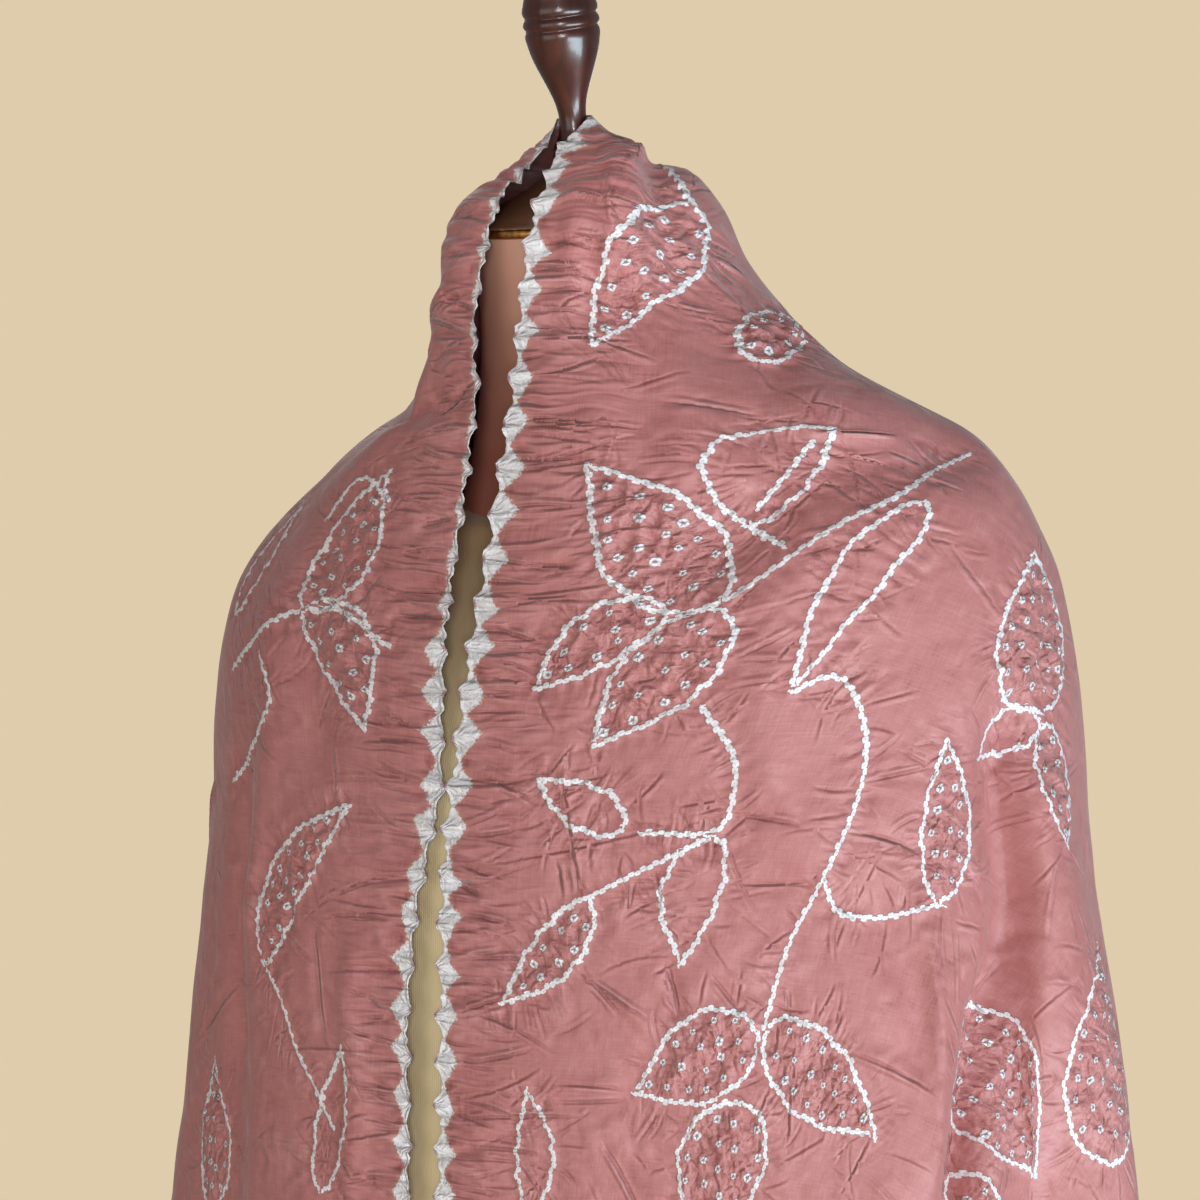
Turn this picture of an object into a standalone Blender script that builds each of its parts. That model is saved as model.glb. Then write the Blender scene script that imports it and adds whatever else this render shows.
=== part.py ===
"""A dupatta stole draped open-fronted over a limbless dress form.

Metres, +Z up. The form faces -Y, +X is its left, and the origin is the centre of the base's underside.
The middle of one long edge of the stole hooks behind the finial of the form, and the two halves of that
edge fall side by side down the front. Everything else of the cloth hangs from that edge over the neck
cap, the shoulders and the back.
"""

import math

import bmesh
import bpy
import numpy as np

# ---------------------------------------------------------------- driving sizes
STOLE_LENGTH = 2.10
STOLE_WIDTH = 0.75
CLOTH_WALL = 0.0015
SEAM_GAP = 0.0003  # between the stretches of cloth, and between pieces that touch
TURN_ROOM = 1.3  # a stretch is drawn back this many seam gaps, so that its walls clear where it turns

SCALLOP_PITCH = 0.020
SCALLOP_RISE = 0.0023  # how far each scallop swings either side of the edge's mean line

NECK_TILT = math.radians(12)  # the neck, its cap and the finial lean forward
RIM_CENTRE = (0.0, -0.0505, 1.4995)  # centre of the brass rim under the neck cap
CAP_RADIUS = 0.0530

BASE_RADIUS = 0.185
BASE_HEIGHT = 0.030
PLATE_TOP = 0.800  # underside of the covered torso
PLATE_THICK = 0.014

# ---------------------------------------------------------------- the draped cloth
# Each row is a ring that the cloth passes through, from the loop behind the finial down to below the hem.
# front, back and side are the middle of the ring's front, its back and its two flanks. A leaning ring is
# measured from the rim's centre, across and along the neck's axis; a level one in the form's own frame.
RING_COLUMNS = (
    "leans", "front_y", "front_z", "left_x", "right_x", "side_y", "side_z", "back_y", "back_z",
)
RINGS = (
    (1, -0.0300, +0.0250, 0.0300, 0.0295, +0.0000, +0.0215, +0.0285, +0.0180),  # above the cap's dome
    (1, -0.0500, +0.0105, 0.0495, 0.0490, +0.0000, +0.0105, +0.0500, +0.0105),  # on the dome's edge
    (1, -0.0570, -0.0010, 0.0570, 0.0560, +0.0000, -0.0020, +0.0575, -0.0020),  # over the rim
    (1, -0.0670, -0.0300, 0.0700, 0.0560, +0.0000, -0.0300, +0.0620, -0.0330),  # down the neck
    (0, -0.1205, 1.4110, 0.1130, 0.0720, -0.0320, 1.4330, +0.0380, 1.4320),  # foot of the neck
    (0, -0.1285, 1.3600, 0.1735, 0.1420, -0.0120, 1.3975, +0.0860, 1.3900),  # on the shoulders
    (0, -0.1360, 1.3080, 0.1985, 0.2030, -0.0020, 1.3480, +0.1230, 1.3400),  # shoulder tips
    (0, -0.1410, 1.2550, 0.2110, 0.2150, +0.0000, 1.2950, +0.1380, 1.2850),
    (0, -0.1440, 1.2000, 0.2200, 0.2150, +0.0000, 1.2150, +0.1440, 1.2100),
    (0, -0.1470, 1.1300, 0.2330, 0.2150, +0.0000, 1.1350, +0.1500, 1.1300),
    (0, -0.1490, 1.0500, 0.2440, 0.2270, +0.0000, 1.0500, +0.1560, 1.0500),
    (0, -0.1540, 0.8500, 0.2660, 0.2520, +0.0000, 0.8500, +0.1720, 0.8500),
    (0, -0.1580, 0.6000, 0.2850, 0.2740, +0.0000, 0.6000, +0.1860, 0.6000),
    (0, -0.1600, 0.3500, 0.3000, 0.2900, +0.0000, 0.3500, +0.1960, 0.3500),
    (0, -0.1620, 0.1000, 0.3100, 0.3000, +0.0000, 0.1000, +0.2040, 0.1000),
)
LOOP_RADIUS = 0.0088  # the loop of edge behind the finial's stem
LOOP_RISE = 0.0440  # above the rim, along the neck's axis
SHOULDER_RING = 6.5  # the columns turn from the cone of the neck to the fan of the hem here

# The middle of the front opening and its width, by height.
OPENING_COLUMNS = ("height", "middle_x", "gap")
OPENING = (
    (1.545, +0.0000, 0.0170),
    (1.490, -0.0010, 0.0215),
    (1.455, -0.0045, 0.0235),
    (1.415, -0.0035, 0.0220),
    (1.360, -0.0065, 0.0200),
    (1.306, -0.0115, 0.0165),
    (1.243, -0.0135, 0.0065),
    (1.191, -0.0195, 0.0185),
    (1.146, -0.0200, 0.0235),
    (1.056, -0.0195, 0.0220),
    (0.800, -0.0170, 0.0280),
    (0.500, -0.0120, 0.0380),
)

# Folds that stand up between two heights, drifting round the neck as they go down.
NECK_FOLD_COLUMNS = ("side", "top_place", "low_place", "half_width", "top", "bottom", "depth")
NECK_FOLDS = (
    (+1, 0.420, 0.250, 0.050, 1.543, 1.455, +0.0060),
    (+1, 0.180, 0.120, 0.040, 1.520, 1.430, +0.0025),
    (+1, 0.720, 0.640, 0.050, 1.530, 1.420, +0.0030),
    (-1, 0.620, 0.560, 0.055, 1.535, 1.430, +0.0025),
    (-1, 0.800, 0.760, 0.060, 1.530, 1.420, +0.0035),
    (-1, 0.200, 0.260, 0.045, 1.450, 1.360, +0.0035),
)

# The largest folds of the hanging cloth. A positive depth is a ridge. place is the share of the way round
# from the front edge to the middle of the back, and each fold grows from its top height to the hem.
FOLD_COLUMNS = ("side", "place", "half_width", "top", "depth_low", "depth_hem")
FOLDS = (
    (+1, 0.080, 0.035, 1.10, +0.0000, +0.0130),
    (+1, 0.180, 0.040, 1.15, -0.0030, -0.0260),
    (+1, 0.345, 0.045, 1.30, +0.0070, +0.0340),
    (+1, 0.434, 0.030, 1.27, -0.0150, -0.0500),
    (+1, 0.500, 0.034, 1.30, +0.0100, +0.0540),
    (+1, 0.625, 0.048, 1.30, -0.0100, -0.0580),
    (+1, 0.735, 0.042, 1.30, +0.0180, +0.0560),
    (+1, 0.825, 0.040, 1.30, -0.0190, -0.0580),
    (+1, 0.910, 0.038, 1.28, +0.0200, +0.0560),
    (+1, 1.000, 0.040, 1.26, -0.0150, -0.0480),
    (-1, 1.000, 0.040, 1.26, -0.0150, -0.0480),
    (-1, 0.915, 0.038, 1.28, +0.0190, +0.0460),
    (-1, 0.825, 0.038, 1.30, -0.0190, -0.0580),
    (-1, 0.735, 0.040, 1.30, +0.0190, +0.0560),
    (-1, 0.640, 0.040, 1.30, -0.0190, -0.0580),
    (-1, 0.545, 0.042, 1.32, +0.0170, +0.0560),
    (-1, 0.440, 0.042, 1.34, -0.0110, -0.0520),
    (-1, 0.330, 0.045, 1.30, +0.0060, +0.0300),
    (-1, 0.215, 0.030, 1.20, -0.0060, -0.0260),
    (-1, 0.100, 0.035, 1.10, +0.0020, +0.0160),
)
FOLD_LOW = 1.05  # height of depth_low
FOLD_HEM = 0.70  # height of depth_hem
FOLD_GROWTH = 1.3  # a fold goes on growing below FOLD_HEM, up to this share of the growth above it

OPENING_STARTS = 0.010  # below the loop
OPENING_SPREADS = 0.030  # from there down to its full width
OPENING_FALLOFF = 3  # the higher, the nearer the edge the cloth is moved

COLUMNS_A_SIDE = 44
CORNER_COLUMN = 17  # this column runs to the corner of the cloth
SEAM_COLUMN = 27  # the front falls end here and the back begins
COLLAR_END = 4.5  # the collar stretch ends at this ring number
COLLAR_ROWS = 9
FALL_ROWS = 17

# ---------------------------------------------------------------- the dress form
# Profiles run from the top down the outside: distance from the axis, height along it. The neck's pieces
# are measured from the rim along the leaning axis.
FINIAL_PROFILE = (
    (0.0000, 0.1170), (0.0060, 0.1158), (0.0105, 0.1120), (0.0138, 0.1060), (0.0158, 0.0985),
    (0.0169, 0.0915), (0.0162, 0.0901), (0.0170, 0.0887), (0.0171, 0.0860), (0.0163, 0.0845),
    (0.0168, 0.0830), (0.0162, 0.0775), (0.0147, 0.0715), (0.0120, 0.0645), (0.0092, 0.0575),
    (0.0072, 0.0515), (0.0062, 0.0455), (0.0064, 0.0400), (0.0085, 0.0345), (0.0100, 0.0318),
    (0.0000, 0.0318),
)
CAP_PROFILE = (
    (0.0000, 0.0315), (0.0105, 0.0315), (0.0112, 0.0260), (0.0150, 0.0200), (0.0225, 0.0152),
    (0.0310, 0.0112), (0.0390, 0.0081), (0.0450, 0.0056), (0.0492, 0.0036), (0.0520, 0.0023),
    (CAP_RADIUS, 0.0017), (0.0525, 0.0013), (0.0000, 0.0013),
)
RIM_PROFILE = (
    (0.0000, 0.0010), (0.0524, 0.0010), (0.0536, 0.0001), (0.0536, -0.0015), (0.0524, -0.0025),
    (0.0000, -0.0025),
)
BASE_PROFILE = (
    (0.0000, 0.0300), (0.0300, 0.0300), (0.0360, 0.0285), (0.0700, 0.0245), (0.1500, 0.0190),
    (0.1740, 0.0165), (0.1830, 0.0125), (BASE_RADIUS, 0.0080), (BASE_RADIUS, 0.0030), (0.1830, 0.0000),
    (0.0000, 0.0000),
)
COLLAR_PROFILE = (  # the turned collar where the stand's height is set
    (0.0000, 0.6000), (0.0140, 0.6000), (0.0200, 0.5960), (0.0215, 0.5850), (0.0205, 0.5740),
    (0.0240, 0.5700), (0.0240, 0.5560), (0.0205, 0.5500), (0.0000, 0.5500),
)
POLE_COLUMNS = ("radius", "bottom", "top")
POLES = {
    "pole_lower": (0.0160, BASE_HEIGHT + SEAM_GAP, 0.5500 - SEAM_GAP),
    "pole_upper": (0.0115, 0.6000 + SEAM_GAP, PLATE_TOP - PLATE_THICK - SEAM_GAP),
}

# The torso and the neck, as oval rings from the top down.
LOFT_COLUMNS = ("middle_y", "half_width", "half_depth", "front_z", "side_z", "back_z")
NECK = (
    (-0.0499, 0.0512, 0.0501, 1.4860, 1.4967, 1.5074),
    (-0.0401, 0.0530, 0.0518, 1.4396, 1.4506, 1.4616),
    (-0.0330, 0.0600, 0.0572, 1.4007, 1.4150, 1.4293),
    (-0.0285, 0.0665, 0.0615, 1.3794, 1.3970, 1.4146),
    (-0.0251, 0.0735, 0.0656, 1.3620, 1.3833, 1.4046),
)
TORSO = (
    (-0.0251, 0.0745, 0.0666, 1.3613, 1.3829, 1.4045),
    (-0.0220, 0.0930, 0.0730, 1.3590, 1.3830, 1.4040),
    (-0.0170, 0.1190, 0.0790, 1.3550, 1.3825, 1.3980),
    (-0.0115, 0.1510, 0.0850, 1.3480, 1.3790, 1.3850),
    (-0.0090, 0.1785, 0.0930, 1.3370, 1.3680, 1.3690),
    (-0.0065, 0.1935, 0.1040, 1.3200, 1.3495, 1.3500),
    (-0.0050, 0.1975, 0.1180, 1.2950, 1.3100, 1.3150),
    (-0.0060, 0.1830, 0.1310, 1.2450, 1.2500, 1.2500),
    (-0.0100, 0.1630, 0.1280, 1.1900, 1.1900, 1.1900),
    (-0.0160, 0.1430, 0.1230, 1.1200, 1.1200, 1.1200),
    (-0.0190, 0.1350, 0.1210, 1.0500, 1.0500, 1.0500),
    (-0.0160, 0.1410, 0.1220, 0.9800, 0.9800, 0.9800),
    (-0.0090, 0.1580, 0.1250, 0.9100, 0.9100, 0.9100),
    (-0.0030, 0.1690, 0.1250, 0.8500, 0.8500, 0.8500),
    (+0.0010, 0.1660, 0.1200, 0.8200, 0.8200, 0.8200),
    (+0.0030, 0.1560, 0.1100, PLATE_TOP, PLATE_TOP, PLATE_TOP),
)
PLATE = (
    (+0.0030, 0.1520, 0.1060) + 3 * (PLATE_TOP - SEAM_GAP,),
    (+0.0030, 0.1520, 0.1060) + 3 * (PLATE_TOP - PLATE_THICK,),
)
LOFT_SEGMENTS = 40
TURNED_SEGMENTS = 28

COLOURS = {  # linear base colour, roughness, metallic
    "silk": ((0.475, 0.215, 0.210), 0.55, 0.0),
    "jersey": ((0.600, 0.500, 0.340), 0.90, 0.0),
    "skin_paint": ((0.420, 0.270, 0.180), 0.60, 0.0),
    "dark_wood": ((0.060, 0.020, 0.014), 0.20, 0.0),
    "brass": ((0.480, 0.300, 0.110), 0.35, 1.0),
}


def table(names, rows):
    """A table's columns by name."""
    return dict(zip(names, np.array(rows, float).T))


def smooth_step(x):
    x = np.clip(x, 0.0, 1.0)
    return x * x * (3.0 - 2.0 * x)


def bowed(x, bow=0.3):
    """x from 0 to 1, starting slower."""
    return x * (1 - bow) + bow * x * x


# ---------------------------------------------------------------- how the cloth hangs
# A column's way round runs from 0 at the left front edge, through 1 at the middle of the back, to 2 at
# the right front edge.
def side_and_place(way):
    """Which side of the form a column is on, and its share of the way from the front to the back."""
    return np.where(way <= 1, 1, -1), np.where(way <= 1, way, 2 - way)


def azimuth(place):
    """The angle round the form, 0 at the front and pi at the back."""
    return math.pi * place - 0.10 * np.sin(2 * math.pi * place)


def leaned(points):
    """Points measured from the rim's centre, across and along the neck's axis, in the form's own frame."""
    x, y, z = np.moveaxis(points, -1, 0)
    cos, sin = math.cos(NECK_TILT), math.sin(NECK_TILT)
    return np.stack([x, y * cos - z * sin, y * sin + z * cos], axis=-1) + np.array(RIM_CENTRE)


def loop_points(way):
    """The loop of the long edge behind the finial's stem."""
    side, place = side_and_place(way)
    half = azimuth(place) / 2
    across, back = side * np.cos(half), np.sin(half)
    return leaned(np.stack([LOOP_RADIUS * across, LOOP_RADIUS * back, LOOP_RISE + 0 * half], axis=-1))


def ring_points(way):
    """The points where the columns cross the loop and every ring: [ring, column, xyz]."""
    side, place = side_and_place(way)
    ring = {name: values[:, None] for name, values in table(RING_COLUMNS, RINGS).items()}
    angle = azimuth(place)
    ahead = np.maximum(np.cos(angle), 0)
    behind = np.maximum(-np.cos(angle), 0)
    flank = np.where(side > 0, ring["left_x"], ring["right_x"])
    x = side * flank * np.sin(angle)
    y = ring["side_y"] * (1 - ahead - behind) + ring["front_y"] * ahead + ring["back_y"] * behind
    ahead, behind = ahead**1.5, behind**1.5
    z = ring["side_z"] * (1 - ahead - behind) + ring["front_z"] * ahead + ring["back_z"] * behind
    level = np.stack([x, y, z], axis=-1)
    leaning = leaned(level)
    points = np.where(ring["leans"][..., None] > 0, leaning, level)
    return np.concatenate([loop_points(way)[None], points])


def along_rings(points, where):
    """A smooth curve through each column's ring points, read at ring numbers: [row, column, xyz]."""
    step = np.linalg.norm(np.diff(points, axis=0), axis=2).mean(axis=1)[:, None, None]
    slope = np.diff(points, axis=0) / step
    tangent = np.concatenate([slope[:1], slope[-1:]]).repeat([1, len(points) - 1], axis=0)
    tangent[1:-1] = (slope[:-1] * step[1:] + slope[1:] * step[:-1]) / (step[1:] + step[:-1])
    low = np.clip(np.floor(where).astype(int), 0, len(points) - 2)
    column = np.arange(points.shape[1])[None, :]
    t = (where - low)[..., None]
    reach = step[low, 0]
    return (
        points[low, column] * (1 + 2 * t) * (1 - t) ** 2
        + tangent[low, column] * reach * t * (1 - t) ** 2
        + points[low + 1, column] * t * t * (3 - 2 * t)
        + tangent[low + 1, column] * reach * t * t * (t - 1)
    )


def opened(way, points):
    """The same points, moved sideways near the front edges to leave the opening between them."""
    side, place = side_and_place(way)
    opening = table(OPENING_COLUMNS, OPENING)
    height = points[..., 2]
    middle = np.interp(height, opening["height"][::-1], opening["middle_x"][::-1])
    gap = np.interp(height, opening["height"][::-1], opening["gap"][::-1])
    near_edge = ((1 + np.cos(azimuth(place))) / 2) ** OPENING_FALLOFF
    below_loop = smooth_step((OPENING[0][0] - OPENING_STARTS - height) / OPENING_SPREADS)
    shift = (middle + side * gap / 2) * near_edge * below_loop
    return points + shift[..., None] * np.array([1.0, 0.0, 0.0])


def folded(way, points):
    """The same points with the standing folds at the neck and the hanging folds below."""
    side, place = side_and_place(way)
    angle = azimuth(place)
    outward = np.stack([side * np.sin(angle), -np.cos(angle), 0 * angle], axis=-1)
    height = points[..., 2]
    depth = np.zeros_like(height)
    for row in FOLDS:
        fold = dict(zip(FOLD_COLUMNS, row))
        grown = smooth_step((fold["top"] - height) / (fold["top"] - FOLD_LOW))
        more = np.clip((FOLD_LOW - height) / (FOLD_LOW - FOLD_HEM), 0, FOLD_GROWTH)
        across = np.exp(-(((place - fold["place"]) / fold["half_width"]) ** 2)) * (side == fold["side"])
        depth += (fold["depth_low"] * grown + (fold["depth_hem"] - fold["depth_low"]) * more) * across
    for row in NECK_FOLDS:
        fold = dict(zip(NECK_FOLD_COLUMNS, row))
        down = np.clip((fold["top"] - height) / (fold["top"] - fold["bottom"]), 0, 1)
        middle = fold["top_place"] + (fold["low_place"] - fold["top_place"]) * down
        across = np.exp(-(((place - middle) / fold["half_width"]) ** 2)) * (side == fold["side"])
        depth += fold["depth"] * np.sin(math.pi * down) * across
    return points + depth[..., None] * outward


def drape(way, where):
    """Points of the draped cloth's outer face at ring numbers: [row, column, xyz]."""
    return folded(way, opened(way, along_rings(ring_points(way), where)))


def each_column(read, values, known):
    """np.interp for every column on its own."""
    return np.array([np.interp(v, k, n) for v, k, n in zip(read, values.T, known.T)])


def column_lengths(way):
    """Ring numbers from the loop down, finely spaced, and every column's length down to each."""
    where = np.linspace(0, len(RINGS), 20 * len(RINGS) + 1)[:, None].repeat(len(way), axis=1)
    pieces = np.linalg.norm(np.diff(drape(way, where), axis=0), axis=2)
    return where, np.concatenate([np.zeros((1, len(way))), pieces.cumsum(axis=0)])


def shoulder_reach(way):
    """Each column's length to the shoulder, and from there how much flat cloth lies along and across."""
    where, length = column_lengths(way)
    turn = each_column(np.full(len(way), SHOULDER_RING), where, length)
    heading = side_and_place(way)[1] * math.pi / 2
    return turn, STOLE_LENGTH / 2 - turn * np.cos(heading), STOLE_WIDTH - turn * np.sin(heading)


def hanging_direction(way):
    """The direction on the flat cloth, measured from the long edge, in which a column hangs.

    It turns from along the cloth at the front edge to across it at the middle of the back, so that one
    column on each side runs to a corner of the cloth.
    """
    side, place = side_and_place(way)
    corner = CORNER_COLUMN / COLUMNS_A_SIDE
    _, along, across = shoulder_reach(np.array([corner, 2 - corner]))
    left, right = np.arctan2(across, along)
    at_corner = np.where(side > 0, left, right)
    right_angle = math.pi / 2
    return np.where(
        place < corner,
        at_corner * bowed(place / corner),
        right_angle - (right_angle - at_corner) * bowed((1 - place) / (1 - corner)),
    )


def hem_rings(way):
    """The ring number at which each column reaches the border of the flat cloth."""
    hang = hanging_direction(way)
    turn, along, across = shoulder_reach(way)
    tiny = 1e-9
    rest = np.minimum(along / np.maximum(np.cos(hang), tiny), across / np.maximum(np.sin(hang), tiny))
    where, length = column_lengths(way)
    return each_column(turn + rest, length, where)


# ---------------------------------------------------------------- making the solids
def new_object(name, bm, colour):
    """A smooth-shaded object of this mesh, in the part's collection, with its own material."""
    mesh = bpy.data.meshes.new(name)
    bm.to_mesh(mesh)
    bm.free()
    mesh.shade_smooth()
    mesh.set_sharp_from_angle(angle=math.radians(40))
    made = bpy.data.objects.new(name, mesh)
    bpy.data.collections["dupatta_on_form"].objects.link(made)
    base, roughness, metallic = COLOURS[colour]
    material = bpy.data.materials.new(name)
    material.use_nodes = True
    shader = material.node_tree.nodes["Principled BSDF"]
    shader.inputs["Base Color"].default_value = (*base, 1.0)
    shader.inputs["Roughness"].default_value = roughness
    shader.inputs["Metallic"].default_value = metallic
    mesh.materials.append(material)
    return made


def turned(name, profile, colour, leaning=False):
    """A solid of revolution. A leaning one stands on the neck's axis, measured from the rim."""
    bm = bmesh.new()
    verts = [bm.verts.new((radius, 0, height)) for radius, height in profile]
    for pair in zip(verts, verts[1:]):
        bm.edges.new(pair)
    made = new_object(name, bm, colour)
    screw = made.modifiers.new("turned", "SCREW")
    screw.steps = screw.render_steps = TURNED_SEGMENTS
    screw.use_merge_vertices = True
    screw.merge_threshold = 1e-5
    if leaning:
        made.rotation_euler = (NECK_TILT, 0, 0)
        made.location = RIM_CENTRE
    return made


def lofted(name, rows, colour):
    """A solid bridged from one oval ring to the next and closed at both ends."""
    bm = bmesh.new()
    rings = []
    for row in rows:
        ring = dict(zip(LOFT_COLUMNS, row))
        verts = bmesh.ops.create_circle(bm, segments=LOFT_SEGMENTS, radius=1)["verts"]
        slope = (ring["back_z"] - ring["front_z"]) / 2
        dish = (ring["back_z"] + ring["front_z"]) / 2 - ring["side_z"]
        for vert in verts:
            across, ahead = vert.co.x, vert.co.y
            vert.co.x = across * ring["half_width"]
            vert.co.y = ring["middle_y"] + ahead * ring["half_depth"]
            vert.co.z = ring["side_z"] + slope * ahead + dish * ahead**2
        rings.append({edge for vert in verts for edge in vert.link_edges})
    for upper, lower in zip(rings, rings[1:]):
        bmesh.ops.bridge_loops(bm, edges=list(upper | lower))
    for end in (rings[0], rings[-1]):
        bmesh.ops.contextual_create(bm, geom=list(end))
    bmesh.ops.recalc_face_normals(bm, faces=bm.faces)
    return new_object(name, bm, colour)


def pole(name, radius, bottom, top):
    bm = bmesh.new()
    bmesh.ops.create_cone(
        bm, cap_ends=True, segments=TURNED_SEGMENTS, radius1=radius, radius2=radius, depth=top - bottom
    )
    made = new_object(name, bm, "dark_wood")
    made.location.z = (bottom + top) / 2
    return made


def scallop(bm, edge_verts, inner_verts):
    """Cuts the edge between two columns' ends into half scallops, and swings every other point outward."""
    outward = {}
    for vert, inner in zip(edge_verts, inner_verts):
        outward[vert] = (vert.co - inner.co).normalized()
    line = [edge_verts[0]]
    for upper, lower in zip(edge_verts, edge_verts[1:]):
        edge = bm.edges.get((upper, lower))
        parts = max(1, round(edge.calc_length() / (SCALLOP_PITCH / 2)))
        start, end, aside = upper.co.copy(), lower.co.copy(), outward[upper].copy()
        made = []
        for part in range(1, parts):
            edge, fresh = bmesh.utils.edge_split(edge, upper, 0.5)
            fresh.co = start.lerp(end, part / parts)
            outward[fresh] = aside
            made.append(fresh)
            upper = fresh
            edge = bm.edges.get((fresh, lower))
        line += made + [lower]
    for number, vert in enumerate(line):
        vert.co += outward[vert] * SCALLOP_RISE * (1 if number % 2 else -1)


def pull_back(border, inner):
    """Draws a stretch's border in, to leave the gap at a seam and room for the walls to turn."""
    inward = inner - border
    border += inward * TURN_ROOM * SEAM_GAP / np.linalg.norm(inward, axis=-1, keepdims=True)


def stretch(name, first, last, top, bottom, rows):
    """One stretch of the cloth, between two columns and from one ring number down to another or the hem."""
    count = 2 * COLUMNS_A_SIDE
    way = np.arange(first, last + 1) / COLUMNS_A_SIDE
    low = hem_rings(way) if bottom is None else np.full(len(way), bottom)
    where = top + (low - top) * np.linspace(0, 1, rows + 1)[:, None]
    points = drape(way, where)
    if first > 0:
        pull_back(points[:, 0], points[:, 1])
    if last < count:
        pull_back(points[:, -1], points[:, -2])
    if top > 0:
        pull_back(points[0], points[1])
    if bottom is not None:
        pull_back(points[-1], points[-2])
    bm = bmesh.new()
    columns = len(way) - 1
    grid = bmesh.ops.create_grid(bm, x_segments=rows, y_segments=columns, size=0.5)["verts"]
    at = {}
    for vert in grid:
        row, column = round((vert.co.x + 0.5) * rows), round((vert.co.y + 0.5) * columns)
        at[row, column] = vert
        vert.co = points[row, column]
    for edge, inner, free in ((0, 1, first == 0), (columns, columns - 1, last == count)):
        if free:
            scallop(bm, [at[r, edge] for r in range(rows + 1)], [at[r, inner] for r in range(rows + 1)])
    made = new_object(name, bm, "silk")
    wall = made.modifiers.new("wall", "SOLIDIFY")
    wall.thickness = CLOTH_WALL
    wall.offset = -1
    return made


def build():
    for old in list(bpy.data.objects):
        bpy.data.objects.remove(old)
    bpy.context.scene.collection.children.link(bpy.data.collections.new("dupatta_on_form"))

    turned("base", BASE_PROFILE, "dark_wood")
    turned("pole_collar", COLLAR_PROFILE, "brass")
    for name, sizes in POLES.items():
        pole(name, *sizes)
    lofted("torso_plate", PLATE, "dark_wood")
    lofted("torso", TORSO, "jersey")
    lofted("neck", NECK, "skin_paint")
    turned("neck_rim", RIM_PROFILE, "brass", leaning=True)
    turned("neck_cap", CAP_PROFILE, "dark_wood", leaning=True)
    turned("finial", FINIAL_PROFILE, "dark_wood", leaning=True)

    count = 2 * COLUMNS_A_SIDE
    right_seam = count - SEAM_COLUMN
    stretch("stole_neck", 0, count, 0.0, COLLAR_END, COLLAR_ROWS)
    stretch("stole_left_front", 0, SEAM_COLUMN, COLLAR_END, None, FALL_ROWS)
    stretch("stole_back", SEAM_COLUMN, right_seam, COLLAR_END, None, FALL_ROWS)
    stretch("stole_right_front", right_seam, count, COLLAR_END, None, FALL_ROWS)


build()
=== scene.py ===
"""A dupatta stole of tie-dyed silk, draped open-fronted over a limbless dress form on a wooden stand."""

import math

import bmesh
import bpy
import numpy as np
from mathutils import Matrix, Vector


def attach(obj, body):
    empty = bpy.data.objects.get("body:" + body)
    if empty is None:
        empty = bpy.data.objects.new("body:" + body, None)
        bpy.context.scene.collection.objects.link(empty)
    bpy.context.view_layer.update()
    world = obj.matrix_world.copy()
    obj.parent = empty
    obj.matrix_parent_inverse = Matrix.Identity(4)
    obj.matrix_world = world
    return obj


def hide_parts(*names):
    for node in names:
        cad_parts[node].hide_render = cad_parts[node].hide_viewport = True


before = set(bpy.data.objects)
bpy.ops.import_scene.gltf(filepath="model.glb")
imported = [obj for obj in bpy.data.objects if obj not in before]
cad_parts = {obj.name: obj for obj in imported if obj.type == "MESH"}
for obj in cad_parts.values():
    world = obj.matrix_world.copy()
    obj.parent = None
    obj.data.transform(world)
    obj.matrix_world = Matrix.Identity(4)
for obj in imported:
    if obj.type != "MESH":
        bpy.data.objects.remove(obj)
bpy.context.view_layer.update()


def placed(name, data):
    """A new object in the scene."""
    thing = bpy.data.objects.new(name, data)
    bpy.context.scene.collection.objects.link(thing)
    return thing


# ---------------------------------------------------------------- camera
# Level with the collar bones and 35 degrees round to the form's left, far enough back to flatten the
# form as a long lens does. The picture is square and runs from the finial to the waist.
LOOK_AT = Vector((-0.0180, -0.0126, 1.3263))
CAMERA_TURN = math.radians(35)
CAMERA_REACH = 2.5
PICTURE_HEIGHT = 0.549  # metres across the picture at the form

camera = placed("camera", bpy.data.cameras.new("camera"))
bpy.context.scene.camera = camera
camera.location = LOOK_AT + CAMERA_REACH * Vector((math.sin(CAMERA_TURN), -math.cos(CAMERA_TURN), 0))
camera.rotation_euler = (math.radians(90), 0, CAMERA_TURN)
camera.data.sensor_fit = "HORIZONTAL"
camera.data.angle = 2 * math.atan(PICTURE_HEIGHT / 2 / CAMERA_REACH)
camera.data.clip_end = 30

# ---------------------------------------------------------------- the stand
# A weighted round base, a two-part pole and the plate under the torso, turned in hardwood, stained
# nearly black and varnished. A brass collar sets the height.
NECK_TILT = math.radians(12)
RIM_CENTRE = Vector((0, -0.0505, 1.4995))
LEANING = Matrix.Translation(RIM_CENTRE) @ Matrix.Rotation(NECK_TILT, 4, "X")
ROUND_STEPS = 96
STAIN, STAIN_DARK, STAIN_WORN = "#54221a", "#2c110c", "#9c7450"
BRASS, BRASS_DULL = "#eab068", "#96683a"


def linear(code):
    """The linear colour of an sRGB hex value."""
    parts = [int(code[i : i + 2], 16) / 255 for i in (1, 3, 5)]
    return tuple(c / 12.92 if c <= 0.04045 else ((c + 0.055) / 1.055) ** 2.4 for c in parts) + (1.0,)


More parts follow.
